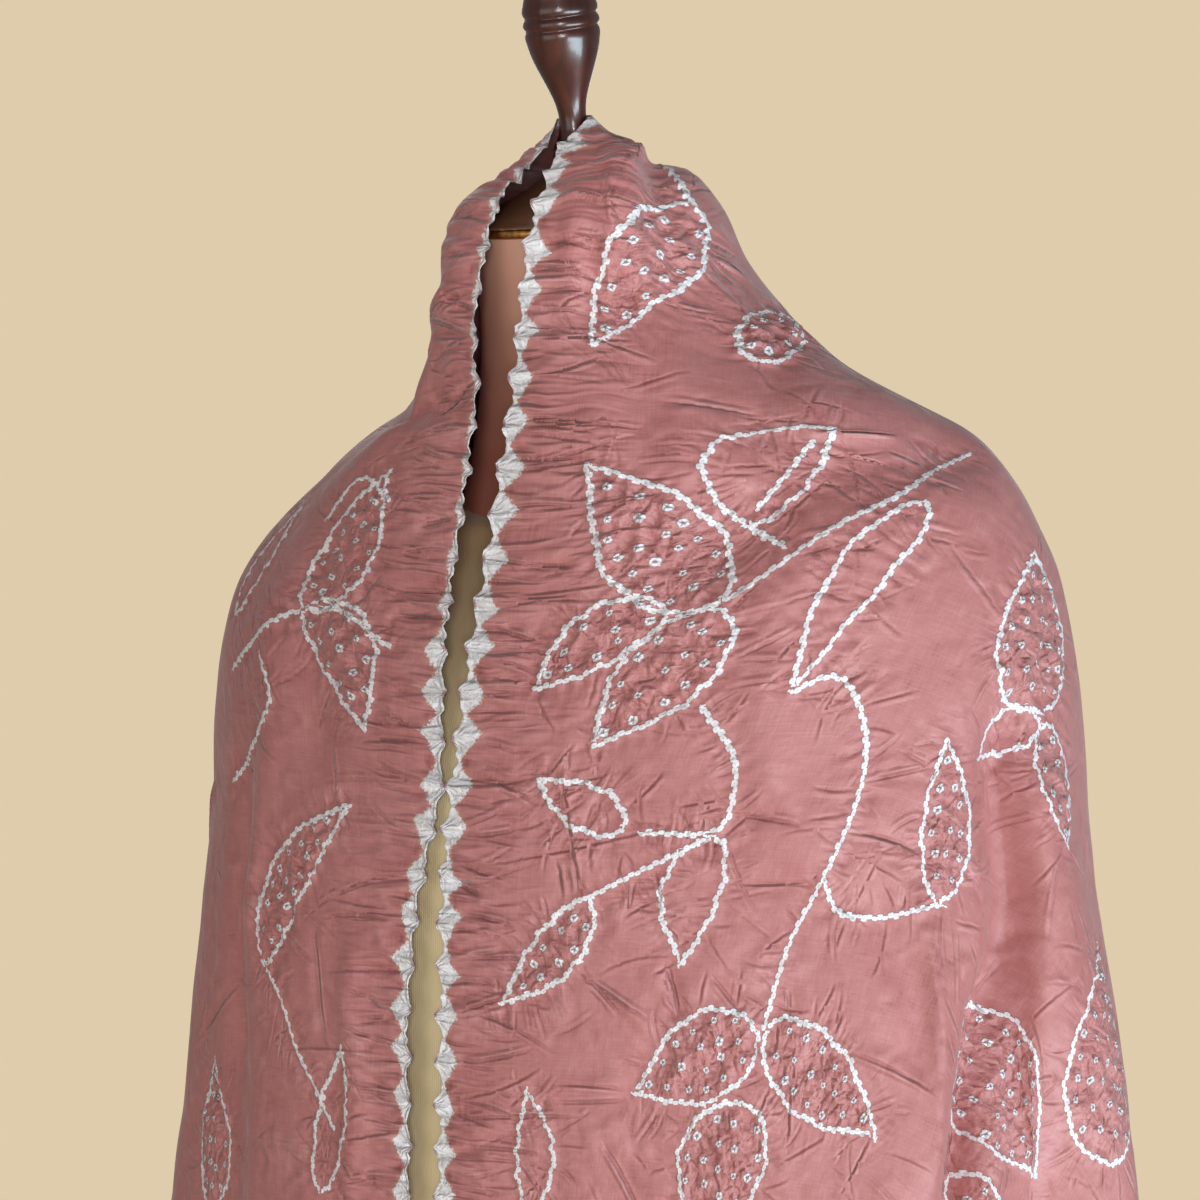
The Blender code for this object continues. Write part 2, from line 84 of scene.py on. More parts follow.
def add(tree, kind, inputs=None, **settings):
    """Adds a shader node, sets its properties, and sets or links its inputs."""
    node = tree.nodes.new("ShaderNode" + kind)
    for name, value in settings.items():
        setattr(node, name, value)
    for name, value in (inputs or {}).items():
        if isinstance(value, bpy.types.Node):
            value = value.outputs[0]
        if isinstance(value, bpy.types.NodeSocket):
            tree.links.new(value, node.inputs[name])
        else:
            node.inputs[name].default_value = value
    return node


def new_material(name, **sockets):
    """A material with its Principled shader, whose even values are set on its own sockets."""
    material = bpy.data.materials.new(name)
    material.use_nodes = True
    shader = material.node_tree.nodes["Principled BSDF"]
    for socket, value in sockets.items():
        shader.inputs[socket.replace("_", " ").title().replace("Ior", "IOR")].default_value = value
    return material, material.node_tree, shader


def finish(tree, shader, colour, bump):
    """Gives a shader its colour and the bump of its surface."""
    tree.links.new(colour, shader.inputs["Base Color"])
    tree.links.new(bump.outputs[0], shader.inputs["Normal"])


def as_piece(name, mesh, slot, *nodes):
    """Makes a finished mesh a piece of the one body, which stands for these nodes."""
    piece = placed(name, mesh)
    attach(piece, "root")
    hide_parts(*nodes)
    return piece


def dress(name, bm, material, slot, *nodes):
    """Turns a bmesh into a finished piece that stands for these nodes."""
    mesh = bpy.data.meshes.new(name)
    bm.to_mesh(mesh)
    bm.free()
    mesh.shade_smooth()
    mesh.set_sharp_from_angle(angle=math.radians(50))
    mesh.materials.append(material)
    return as_piece(name, mesh, slot, *nodes)


def headings(points, reach):
    """The smooth heading of a line at each of its points, which lie this far apart."""
    slope = np.diff(points, axis=0) / reach
    turn = np.concatenate([slope[:1], slope[-1:]]).repeat([1, len(slope)], axis=0)
    turn[1:-1] = (slope[:-1] * reach[1:] + slope[1:] * reach[:-1]) / (reach[1:] + reach[:-1])
    return turn


def curved(low, high, start, end, t):
    """Where the smooth curve from low to high is at t, from 0 to 1, with these headings at its ends."""
    line = low * (1 + 2 * t) * (1 - t) ** 2 + start * t * (1 - t) ** 2
    return line + high * t * t * (3 - 2 * t) + end * t * t * (t - 1)


def through(points, parts):
    """A smooth line through points, with this many parts between each two."""
    points = np.array(points, float)
    reach = np.maximum(np.linalg.norm(np.diff(points, axis=0), axis=1), 1e-6)[:, None]
    turn = headings(points, reach)
    t = np.linspace(0, 1, parts, endpoint=False)[None, :, None]
    start, end = (turn[:-1] * reach)[:, None], (turn[1:] * reach)[:, None]
    line = curved(points[:-1, None], points[1:, None], start, end, t)
    return np.concatenate([line.reshape(-1, points.shape[1]), points[-1:]])


def turned(profile, parts=4, place=Matrix.Identity(4)):
    """A lathe-turned solid: its profile of radius and height, smoothed but for the flat foot, is spun."""
    bm = bmesh.new()
    line = list(through(profile[:-1], parts)) + [profile[-1]]
    verts = [bm.verts.new((max(radius, 0), 0, height)) for radius, height in line]
    edges = [bm.edges.new(pair) for pair in zip(verts, verts[1:])]
    bmesh.ops.spin(
        bm, geom=verts + edges, cent=(0, 0, 0), axis=(0, 0, 1), angle=2 * math.pi, steps=ROUND_STEPS,
        use_merge=True,
    )
    bmesh.ops.remove_doubles(bm, verts=bm.verts, dist=1e-6)
    bmesh.ops.recalc_face_normals(bm, faces=bm.faces)
    bmesh.ops.transform(bm, matrix=place, verts=bm.verts)
    return bm


def stained_wood(name, place=None, worn=False):
    """Hardwood turned on a lathe, stained and varnished: a clear gloss over a faint upright grain."""
    wood, tree, shader = new_material(name, roughness=0.32, coat_weight=0.55, coat_roughness=0.16)
    where = add(tree, "TexCoord").outputs["Object"]
    if place is not None:
        back = place.inverted()
        where = add(
            tree, "Mapping", {"Vector": where, "Location": back.translation, "Rotation": back.to_euler()}
        )
    stretched = add(tree, "Mapping", {"Vector": where, "Scale": (260, 260, 14)})
    grain = add(tree, "TexNoise", {"Vector": stretched, "Scale": 1.0, "Detail": 4.0, "Roughness": 0.6})
    cloudy = add(tree, "TexNoise", {"Vector": where, "Scale": 45.0, "Detail": 2.0})
    shade = add(tree, "Math", {0: grain, 1: cloudy}, operation="MULTIPLY")
    shade = add(tree, "MapRange", {"Value": shade, "From Min": 0.12, "From Max": 0.42})
    colour = add(
        tree, "Mix", {0: shade, 6: linear(STAIN_DARK), 7: linear(STAIN)}, data_type="RGBA"
    ).outputs[2]
    if worn:
        height = add(tree, "SeparateXYZ", {"Vector": where}).outputs["Z"]
        low = add(tree, "MapRange", {"Value": height, "From Min": 0.0030, "From Max": 0.0012})
        flecks = add(tree, "TexNoise", {"Vector": where, "Scale": 420.0, "Detail": 3.0})
        flecks = add(tree, "MapRange", {"Value": flecks, "From Min": 0.52, "From Max": 0.60})
        chipped = add(tree, "Math", {0: low, 1: flecks}, operation="MULTIPLY")
        chipped = add(tree, "Math", {0: chipped, 1: 0.32}, operation="MAXIMUM")
        colour = add(tree, "Mix", {0: chipped, 6: colour, 7: linear(STAIN_WORN)}, data_type="RGBA")
        colour = colour.outputs[2]
    bump = add(tree, "Bump", {"Height": grain, "Strength": 0.15, "Distance": 0.0004})
    finish(tree, shader, colour, bump)
    return wood


stand_wood = stained_wood("stained_stand_wood")
BASE_PROFILE = (
    (0.0000, 0.0300), (0.0300, 0.0299), (0.0360, 0.0283), (0.0700, 0.0245), (0.1500, 0.0190),
    (0.1740, 0.0165), (0.1830, 0.0125), (0.1850, 0.0080), (0.1850, 0.0030), (0.1830, 0.0000),
    (0.0000, 0.0000),
)
dress("base", turned(BASE_PROFILE), stand_wood, "dark_wood", "base")
POLES = {"pole_lower": (0.0160, 0.0303, 0.5497), "pole_upper": (0.0115, 0.6003, 0.7857)}
for pole, (radius, bottom, top) in POLES.items():
    rod = bmesh.new()
    bmesh.ops.create_cone(
        rod, cap_ends=True, segments=64, radius1=radius, radius2=radius, depth=top - bottom,
        matrix=Matrix.Translation((0, 0, (top + bottom) / 2)),
    )
    ends = [edge for edge in rod.edges if abs(edge.verts[0].co.z - edge.verts[1].co.z) < 1e-6]
    bmesh.ops.bevel(
        rod, geom=ends, offset=0.0008, affect="EDGES", segments=2, profile=0.5, material=-1
    )
    dress(pole, rod, stand_wood, "dark_wood", pole)

COLLAR_PROFILE = (
    (0.0000, 0.6000), (0.0135, 0.5999), (0.0200, 0.5960), (0.0215, 0.5850), (0.0205, 0.5740),
    (0.0238, 0.5705), (0.0240, 0.5560), (0.0205, 0.5500), (0.0000, 0.5500),
)


def aged_brass(name):
    """Lacquered brass gone dull in patches."""
    brass, tree, shader = new_material(name, metallic=1.0, roughness=0.34)
    where = add(tree, "TexCoord").outputs["Object"]
    dull = add(tree, "TexNoise", {"Vector": where, "Scale": 160.0, "Detail": 4.0, "Roughness": 0.65})
    patch = add(tree, "MapRange", {"Value": dull, "From Min": 0.40, "From Max": 0.66})
    colour = add(tree, "Mix", {0: patch, 6: linear(BRASS), 7: linear(BRASS_DULL)}, data_type="RGBA")
    bump = add(tree, "Bump", {"Height": dull, "Strength": 0.2, "Distance": 0.0002})
    finish(tree, shader, colour.outputs[2], bump)
    return brass


dress("pole_collar", turned(COLLAR_PROFILE), aged_brass("aged_brass"), "brass", "pole_collar")

# ---------------------------------------------------------------- the torso
# A moulded torso in a tight knitted cover, with the plate it stands on. It narrows at the waist, and the
# cover ends round the root of the neck.
RINGS_A_GAP = 4
# The third colour is a painted shade, laid on towards the neck.
JERSEY, JERSEY_SHADE, JERSEY_PAINTED_SHADE = "#eee0b6", "#dfcc9e", "#a87c50"
TORSO_RINGS = (  # middle_y, half_width, half_depth, front_z, side_z, back_z
    (-0.0251, 0.0745, 0.0666, 1.3613, 1.3829, 1.4045),
    (-0.0220, 0.0930, 0.0730, 1.3590, 1.3830, 1.4040),
    (-0.0170, 0.1190, 0.0790, 1.3550, 1.3825, 1.3980),
    (-0.0115, 0.1510, 0.0850, 1.3480, 1.3790, 1.3850),
    (-0.0090, 0.1785, 0.0930, 1.3370, 1.3680, 1.3690),
    (-0.0065, 0.1935, 0.1040, 1.3200, 1.3495, 1.3500),
    (-0.0050, 0.1975, 0.1180, 1.2950, 1.3100, 1.3150),
    (-0.0060, 0.1830, 0.1310, 1.2450, 1.2500, 1.2500),
    (-0.0100, 0.1630, 0.1280, 1.1900, 1.1900, 1.1900),
    (-0.0160, 0.1430, 0.1230, 1.1200, 1.1200, 1.1200),
    (-0.0190, 0.1350, 0.1210, 1.0500, 1.0500, 1.0500),
    (-0.0160, 0.1410, 0.1220, 0.9800, 0.9800, 0.9800),
    (-0.0090, 0.1580, 0.1250, 0.9100, 0.9100, 0.9100),
    (-0.0030, 0.1690, 0.1250, 0.8500, 0.8500, 0.8500),
    (0.0010, 0.1660, 0.1200, 0.8200, 0.8200, 0.8200),
    (0.0030, 0.1560, 0.1100, 0.8000, 0.8000, 0.8000),
)
PLATE_RINGS = (
    (0.0030, 0.1505, 0.1045, 0.7997, 0.7997, 0.7997),
    (0.0030, 0.1520, 0.1060, 0.7985, 0.7985, 0.7985),
    (0.0030, 0.1520, 0.1060, 0.7872, 0.7872, 0.7872),
    (0.0030, 0.1505, 0.1045, 0.7860, 0.7860, 0.7860),
)


def lofted(rows, parts):
    """A body bridged through oval rings, each with its own height in front, at the sides and behind."""
    bm = bmesh.new()
    rings = []
    for middle_y, half_width, half_depth, front_z, side_z, back_z in through(rows, parts):
        ring = bmesh.ops.create_circle(bm, segments=ROUND_STEPS, radius=1)["verts"]
        slope, dish = (back_z - front_z) / 2, (back_z + front_z) / 2 - side_z
        for vert in ring:
            across, ahead = vert.co.x, vert.co.y
            height = side_z + slope * ahead + dish * ahead**2
            vert.co = (across * half_width, middle_y + ahead * half_depth, height)
        rings.append({edge for vert in ring for edge in vert.link_edges})
    for upper, lower in zip(rings, rings[1:]):
        bmesh.ops.bridge_loops(bm, edges=list(upper | lower))
    for end in (rings[0], rings[-1]):
        bmesh.ops.contextual_create(bm, geom=list(end))
    bmesh.ops.recalc_face_normals(bm, faces=bm.faces)
    return bm


# Cotton jersey, knitted fine: matt, with faint upright ribs 1.2 mm apart that catch the light. Towards
# the neck it is painted browner: a painted shade, where the silk and the neck above shade it.
RIB = 0.0012
jersey, tree, shader = new_material("cotton_jersey", roughness=0.92, sheen_weight=0.25, sheen_roughness=0.5)
where = add(tree, "TexCoord").outputs["Object"]
worn = add(tree, "TexNoise", {"Vector": where, "Scale": 30.0, "Detail": 3.0})
colour = add(tree, "Mix", {0: worn, 6: linear(JERSEY), 7: linear(JERSEY_SHADE)}, data_type="RGBA").outputs[2]
height = add(tree, "SeparateXYZ", {"Vector": where}).outputs["Z"]
# Painted shade: the cover turns browner from 1.25 m up towards the neck.
painted_shade_by_neck = add(tree, "MapRange", {"Value": height, "From Min": 1.25, "From Max": 1.37, "To Max": 0.8})
colour = add(tree, "Mix", {0: painted_shade_by_neck, 6: colour, 7: linear(JERSEY_PAINTED_SHADE)}, data_type="RGBA").outputs[2]
ribs = add(tree, "TexWave", {"Vector": where, "Scale": 0.314 / RIB, "Distortion": 1.5, "Detail": 1.0})
loops = add(tree, "TexNoise", {"Vector": where, "Scale": 900.0, "Detail": 2.0})
knit = add(tree, "Math", {0: ribs, 1: loops}, operation="ADD")
bump = add(tree, "Bump", {"Height": knit, "Strength": 0.35, "Distance": 0.0003})
finish(tree, shader, colour, bump)

dress("torso", lofted(TORSO_RINGS, RINGS_A_GAP), jersey, "jersey", "torso")
dress("torso_plate", lofted(PLATE_RINGS, 1), stand_wood, "dark_wood", "torso_plate")

# ---------------------------------------------------------------- the neck
# A leaning neck of painted pulp, skin-coloured above and painted browner and redder towards the seam with
# the cover: a painted shade, where the silk shades it, broken by random patches.
# The second colour is a painted shade towards the foot of the neck.
NECK_PAINT, NECK_PAINTED_SHADE = "#c69883", "#c67c69"
NECK_RINGS = (
    (-0.0499, 0.0512, 0.0501, 1.4860, 1.4967, 1.5074),
    (-0.0401, 0.0530, 0.0518, 1.4396, 1.4506, 1.4616),
    (-0.0330, 0.0600, 0.0572, 1.4007, 1.4150, 1.4293),
    (-0.0285, 0.0665, 0.0615, 1.3794, 1.3970, 1.4146),
    (-0.0251, 0.0735, 0.0656, 1.3620, 1.3833, 1.4046),
)
paint, tree, shader = new_material("matt_neck_paint", roughness=0.62)
where = add(tree, "TexCoord").outputs["Object"]
height = add(tree, "SeparateXYZ", {"Vector": where}).outputs["Z"]
# Painted shade: darker and redder towards the foot of the neck, with random patches added.
lower = add(tree, "MapRange", {"Value": height, "From Min": 1.475, "From Max": 1.385})
rubbed = add(tree, "TexNoise", {"Vector": where, "Scale": 38.0, "Detail": 4.0})
uneven = add(tree, "Math", {0: rubbed, 1: 0.5, 2: -0.25}, operation="MULTIPLY_ADD")
painted_shade_and_patches = add(tree, "Math", {0: lower, 1: uneven}, operation="ADD", use_clamp=True)
colour = add(tree, "Mix", {0: painted_shade_and_patches, 6: linear(NECK_PAINT), 7: linear(NECK_PAINTED_SHADE)}, data_type="RGBA")
orange_peel = add(tree, "TexNoise", {"Vector": where, "Scale": 700.0, "Detail": 2.0})
bump = add(tree, "Bump", {"Height": orange_peel, "Strength": 0.15, "Distance": 0.0002})
finish(tree, shader, colour.outputs[2], bump)
dress("neck", lofted(NECK_RINGS, RINGS_A_GAP), paint, "skin_paint", "neck")

# ---------------------------------------------------------------- rim, cap and finial
# The neck is closed by a brass rim, a low turned cap and a tall finial, screwed together on the neck's
# axis. The varnish is chipped along the cap's lower edge.
RIM_PROFILE = (
    (0.0000, 0.0010), (0.0526, 0.0010), (0.0533, 0.0007), (0.0536, 0.0001), (0.0537, -0.0008),
    (0.0536, -0.0015), (0.0532, -0.0022), (0.0526, -0.0025), (0.0000, -0.0025),
)
CAP_PROFILE = (
    (0.0000, 0.0315), (0.0100, 0.0314), (0.0112, 0.0260), (0.0150, 0.0200), (0.0225, 0.0152),
    (0.0310, 0.0112), (0.0390, 0.0081), (0.0450, 0.0056), (0.0492, 0.0036), (0.0520, 0.0025),
    (0.0529, 0.0019), (0.0527, 0.0014), (0.0515, 0.0013), (0.0000, 0.0013),
)
FINIAL_PROFILE = (
    (0.0000, 0.1170), (0.0060, 0.1158), (0.0105, 0.1120), (0.0138, 0.1060), (0.0158, 0.0985),
    (0.0169, 0.0915), (0.0162, 0.0901), (0.0170, 0.0887), (0.0171, 0.0860), (0.0163, 0.0845),
    (0.0168, 0.0830), (0.0162, 0.0775), (0.0147, 0.0715), (0.0120, 0.0645), (0.0092, 0.0575),
    (0.0072, 0.0515), (0.0062, 0.0455), (0.0064, 0.0400), (0.0085, 0.0345), (0.0100, 0.0318),
    (0.0000, 0.0318),
)
head_wood = stained_wood("stained_finial_wood", LEANING)
cap_wood = stained_wood("stained_cap_wood", LEANING, worn=True)
dress("neck_rim", turned(RIM_PROFILE, 2, LEANING), aged_brass("aged_rim_brass"), "brass", "neck_rim")
dress("neck_cap", turned(CAP_PROFILE, 3, LEANING), cap_wood, "dark_wood", "neck_cap")
dress("finial", turned(FINIAL_PROFILE, 4, LEANING), head_wood, "dark_wood", "finial")

# ---------------------------------------------------------------- the stole: how it hangs
# One length of soft silk, 2.10 by 0.75 m. The middle of a long edge is looped behind the finial and the
# halves of that edge fall side by side down the front. The rest hangs from it in widening folds.
STOLE_LENGTH, STOLE_WIDTH = 2.10, 0.75
RING_COLUMNS = (
    "leans", "front_y", "front_z", "left_x", "right_x", "side_y", "side_z", "back_y", "back_z",
)
RINGS = (
    (1, -0.0300, +0.0250, 0.0300, 0.0295, +0.0000, +0.0215, +0.0285, +0.0180),
    (1, -0.0500, +0.0105, 0.0495, 0.0490, +0.0000, +0.0105, +0.0500, +0.0105),
    (1, -0.0570, -0.0010, 0.0570, 0.0560, +0.0000, -0.0020, +0.0575, -0.0020),
    (1, -0.0670, -0.0300, 0.0700, 0.0560, +0.0000, -0.0300, +0.0620, -0.0330),
    (0, -0.1205, 1.4110, 0.1130, 0.0720, -0.0320, 1.4330, +0.0380, 1.4320),
    (0, -0.1285, 1.3600, 0.1735, 0.1420, -0.0120, 1.3975, +0.0860, 1.3900),
    (0, -0.1360, 1.3080, 0.1985, 0.2030, -0.0020, 1.3480, +0.1230, 1.3400),
    (0, -0.1410, 1.2550, 0.2110, 0.2150, +0.0000, 1.2950, +0.1380, 1.2850),
    (0, -0.1440, 1.2000, 0.2200, 0.2150, +0.0000, 1.2150, +0.1440, 1.2100),
    (0, -0.1470, 1.1300, 0.2330, 0.2150, +0.0000, 1.1350, +0.1500, 1.1300),
    (0, -0.1490, 1.0500, 0.2440, 0.2270, +0.0000, 1.0500, +0.1560, 1.0500),
    (0, -0.1540, 0.8500, 0.2660, 0.2520, +0.0000, 0.8500, +0.1720, 0.8500),
    (0, -0.1580, 0.6000, 0.2850, 0.2740, +0.0000, 0.6000, +0.1860, 0.6000),
    (0, -0.1600, 0.3500, 0.3000, 0.2900, +0.0000, 0.3500, +0.1960, 0.3500),
    (0, -0.1620, 0.1000, 0.3100, 0.3000, +0.0000, 0.1000, +0.2040, 0.1000),
)
LOOP_RADIUS, LOOP_RISE = 0.0088, 0.0440
SHOULDER_RING = 6.5
OPENING = (  # height, middle_x, gap
    (1.545, +0.0000, 0.0170), (1.490, -0.0010, 0.0215), (1.455, -0.0045, 0.0235), (1.415, -0.0035, 0.0220),
    (1.360, -0.0065, 0.0200), (1.306, -0.0115, 0.0165), (1.243, -0.0135, 0.0065), (1.191, -0.0195, 0.0185),
    (1.146, -0.0200, 0.0235), (1.056, -0.0195, 0.0220), (0.800, -0.0170, 0.0280), (0.500, -0.0120, 0.0380),
)
NECK_FOLDS = (  # side, top_place, low_place, half_width, top, bottom, depth
    (+1, 0.420, 0.250, 0.050, 1.543, 1.455, +0.0060),
    (+1, 0.180, 0.120, 0.040, 1.520, 1.430, +0.0025),
    (+1, 0.720, 0.640, 0.050, 1.530, 1.420, +0.0030),
    (-1, 0.620, 0.560, 0.055, 1.535, 1.430, +0.0025),
    (-1, 0.800, 0.760, 0.060, 1.530, 1.420, +0.0035),
    (-1, 0.200, 0.260, 0.045, 1.450, 1.360, +0.0035),
)
FOLDS = (  # side, place, half_width, top, depth_low, depth_hem
    (+1, 0.080, 0.035, 1.10, +0.0000, +0.0130), (+1, 0.180, 0.040, 1.15, -0.0030, -0.0260),
    (+1, 0.345, 0.045, 1.30, +0.0070, +0.0340), (+1, 0.434, 0.030, 1.27, -0.0150, -0.0500),
    (+1, 0.500, 0.034, 1.30, +0.0100, +0.0540), (+1, 0.625, 0.048, 1.30, -0.0100, -0.0580),
    (+1, 0.735, 0.042, 1.30, +0.0180, +0.0560), (+1, 0.825, 0.040, 1.30, -0.0190, -0.0580),
    (+1, 0.910, 0.038, 1.28, +0.0200, +0.0560), (+1, 1.000, 0.040, 1.26, -0.0150, -0.0480),
    (-1, 1.000, 0.040, 1.26, -0.0150, -0.0480), (-1, 0.915, 0.038, 1.28, +0.0190, +0.0460),
    (-1, 0.825, 0.038, 1.30, -0.0190, -0.0580), (-1, 0.735, 0.040, 1.30, +0.0190, +0.0560),
    (-1, 0.640, 0.040, 1.30, -0.0190, -0.0580), (-1, 0.545, 0.042, 1.32, +0.0170, +0.0560),
    (-1, 0.440, 0.042, 1.34, -0.0110, -0.0520), (-1, 0.330, 0.045, 1.30, +0.0060, +0.0300),
    (-1, 0.215, 0.030, 1.20, -0.0060, -0.0260), (-1, 0.100, 0.035, 1.10, +0.0020, +0.0160),
)
FOLD_LOW, FOLD_HEM = 1.05, 0.70
CORNER_PLACE, SEAM_PLACE = 17 / 44, 27 / 44  # the corner of the cloth, and the end of the front falls
COLLAR_END = 4.5

# The cloth is worked out on one fine grid, in columns from the left front edge round to the right one and
# in rows from the loop to the hem, and then cut into its four stretches.
FRONT_COLUMNS, BACK_COLUMNS = 150, 84
EDGE_FINENESS = 0.60  # the columns nearest an edge are this much of the usual width
NECK_ROWS, CHEST_ROWS, SKIRT_ROWS = 78, 200, 110
CHEST_END = 11.1


def smooth_step(x):
    x = np.clip(x, 0.0, 1.0)
    return x * x * (3.0 - 2.0 * x)


def bowed(x, bow=0.3):
    return x * (1 - bow) + bow * x * x


def side_and_place(way):
    """Which side of the form a column is on, and its share of the way from the front to the back."""
    return np.where(way <= 1, 1, -1), np.where(way <= 1, way, 2 - way)


def azimuth(place):
    return math.pi * place - 0.10 * np.sin(2 * math.pi * place)


def leaned(points):
    """Points measured from the rim's centre, across and along the neck's axis, in the form's own frame."""
    x, y, z = np.moveaxis(points, -1, 0)
    cos, sin = math.cos(NECK_TILT), math.sin(NECK_TILT)
    return np.stack([x, y * cos - z * sin, y * sin + z * cos], axis=-1) + np.array(RIM_CENTRE)


def ring_points(way):
    """The points where the columns cross the loop and every ring: [ring, column, xyz]."""
    side, place = side_and_place(way)
    ring = {name: values[:, None] for name, values in zip(RING_COLUMNS, np.array(RINGS).T)}
    angle = azimuth(place)
    ahead, behind = np.maximum(np.cos(angle), 0), np.maximum(-np.cos(angle), 0)
    flank = np.where(side > 0, ring["left_x"], ring["right_x"])
    x = side * flank * np.sin(angle)
    y = ring["side_y"] * (1 - ahead - behind) + ring["front_y"] * ahead + ring["back_y"] * behind
    ahead, behind = ahead**1.5, behind**1.5
    z = ring["side_z"] * (1 - ahead - behind) + ring["front_z"] * ahead + ring["back_z"] * behind
    level = np.stack([x, y, z], axis=-1)
    points = np.where(ring["leans"][..., None] > 0, leaned(level), level)
    across, back = side * np.cos(angle / 2), np.sin(angle / 2)
    loop = leaned(np.stack([LOOP_RADIUS * across, LOOP_RADIUS * back, LOOP_RISE + 0 * angle], axis=-1))
    return np.concatenate([loop[None], points])


def along_rings(points, where):
    """A smooth curve through each column's ring points, read at ring numbers: [row, column, xyz]."""
    step = np.linalg.norm(np.diff(points, axis=0), axis=2).mean(axis=1)[:, None, None]
    turn = headings(points, step)
    low = np.clip(np.floor(where).astype(int), 0, len(points) - 2)
    column = np.arange(points.shape[1])[None, :]
    start, end = turn[low, column] * step[low, 0], turn[low + 1, column] * step[low, 0]
    return curved(points[low, column], points[low + 1, column], start, end, (where - low)[..., None])


def opened(way, points):
    """The same points, moved sideways near the front edges to leave the opening between them."""
    side, place = side_and_place(way)
    heights, middles, gaps = np.array(OPENING)[::-1].T
    height = points[..., 2]
    near_edge = ((1 + np.cos(azimuth(place))) / 2) ** 3
    below_loop = smooth_step((OPENING[0][0] - 0.010 - height) / 0.030)
    shift = np.interp(height, heights, middles) + side * np.interp(height, heights, gaps) / 2
    return points + (shift * near_edge * below_loop)[..., None] * np.array([1.0, 0.0, 0.0])


def folded(way, points):
    """The same points with the standing folds at the neck and the hanging folds below."""
    own_side, place = side_and_place(way)
    angle = azimuth(place)
    outward = np.stack([own_side * np.sin(angle), -np.cos(angle), 0 * angle], axis=-1)
    height = points[..., 2]
    depth = np.zeros_like(height)
    for side, middle, half_width, top, depth_low, depth_hem in FOLDS:
        grown = smooth_step((top - height) / (top - FOLD_LOW))
        more = np.clip((FOLD_LOW - height) / (FOLD_LOW - FOLD_HEM), 0, 1.3)
        across = np.exp(-(((place - middle) / half_width) ** 2)) * (own_side == side)
        depth += (depth_low * grown + (depth_hem - depth_low) * more) * across
    for side, top_place, low_place, half_width, top, bottom, fold_depth in NECK_FOLDS:
        down = np.clip((top - height) / (top - bottom), 0, 1)
        middle = top_place + (low_place - top_place) * down
        across = np.exp(-(((place - middle) / half_width) ** 2)) * (own_side == side)
        depth += fold_depth * np.sin(math.pi * down) * across
    return points + depth[..., None] * outward


def drape(way, where):
    """Points of the draped cloth at ring numbers: [row, column, xyz]."""
    return folded(way, opened(way, along_rings(ring_points(way), where)))


def each_column(read, values, known):
    """np.interp for every column on its own."""
    return np.array([np.interp(v, k, n) for v, k, n in zip(read, values.T, known.T)])


def column_lengths(way):
    """Ring numbers from the loop down, finely spaced, and every column's length down to each."""
    where = np.linspace(0, len(RINGS), 20 * len(RINGS) + 1)[:, None].repeat(len(way), axis=1)
    pieces = np.linalg.norm(np.diff(drape(way, where), axis=0), axis=2)
    return where, np.concatenate([np.zeros((1, len(way))), pieces.cumsum(axis=0)])


def shoulder_reach(way):
    """Each column's length to the shoulder, and from there how much flat cloth lies along and across."""
    where, length = column_lengths(way)
    turn = each_column(np.full(len(way), SHOULDER_RING), where, length)
    heading = side_and_place(way)[1] * math.pi / 2
    return turn, STOLE_LENGTH / 2 - turn * np.cos(heading), STOLE_WIDTH - turn * np.sin(heading)


def hanging_direction(way):
    """The direction on the flat cloth, measured from the long edge, in which a column hangs."""
    side, place = side_and_place(way)
    _, along, across = shoulder_reach(np.array([CORNER_PLACE, 2 - CORNER_PLACE]))
    left, right = np.arctan2(across, along)
    at_corner = np.where(side > 0, left, right)
    beyond = math.pi / 2 - at_corner
    return np.where(
        place < CORNER_PLACE,
        at_corner * bowed(place / CORNER_PLACE),
        math.pi / 2 - beyond * bowed((1 - place) / (1 - CORNER_PLACE)),
    )


share = np.linspace(0, 1, FRONT_COLUMNS + 1)
front_places = SEAM_PLACE * (EDGE_FINENESS * share + (1 - EDGE_FINENESS) * share**2)
back_places = np.linspace(SEAM_PLACE, 1, BACK_COLUMNS + 1)[1:]
half_way = np.concatenate([front_places, back_places])
way = np.concatenate([half_way, 2 - half_way[-2::-1]])

ring_numbers, lengths = column_lengths(way)
turn, along, across = shoulder_reach(way)
hang = hanging_direction(way)
rest = np.minimum(along / np.maximum(np.cos(hang), 1e-9), across / np.maximum(np.sin(hang), 1e-9))
hem = each_column(turn + rest, lengths, ring_numbers)
where = np.concatenate(
    [
        np.linspace(0, COLLAR_END, NECK_ROWS, endpoint=False)[:, None].repeat(len(way), axis=1),
        np.linspace(COLLAR_END, CHEST_END, CHEST_ROWS, endpoint=False)[:, None].repeat(len(way), axis=1),
        CHEST_END + (hem - CHEST_END) * np.linspace(0, 1, SKIRT_ROWS + 1)[:, None],
    ]
)
silk = drape(way, where)

# Where each point of the draped cloth lies on the flat stole: flat_x runs along the long edge from the
# loop, positive to the form's left, and flat_y is the distance in from that edge.
TURN_SPREAD = 0.050  # a column turns on the flat cloth over this much length either side of the shoulder
side, place = side_and_place(way)
reached = np.array([np.interp(w, r, n) for w, r, n in zip(where.T, ring_numbers.T, lengths.T)]).T
x = np.clip((reached - turn + TURN_SPREAD) / (2 * TURN_SPREAD), 0, 1)
past_turn = np.where(x < 1, 2 * TURN_SPREAD * (x**3 - x**4 / 2), reached - turn)
before_turn = reached - past_turn
flat_x = side * (np.cos(place * math.pi / 2) * before_turn + np.cos(hang) * past_turn)
flat_y = np.sin(place * math.pi / 2) * before_turn + np.sin(hang) * past_turn

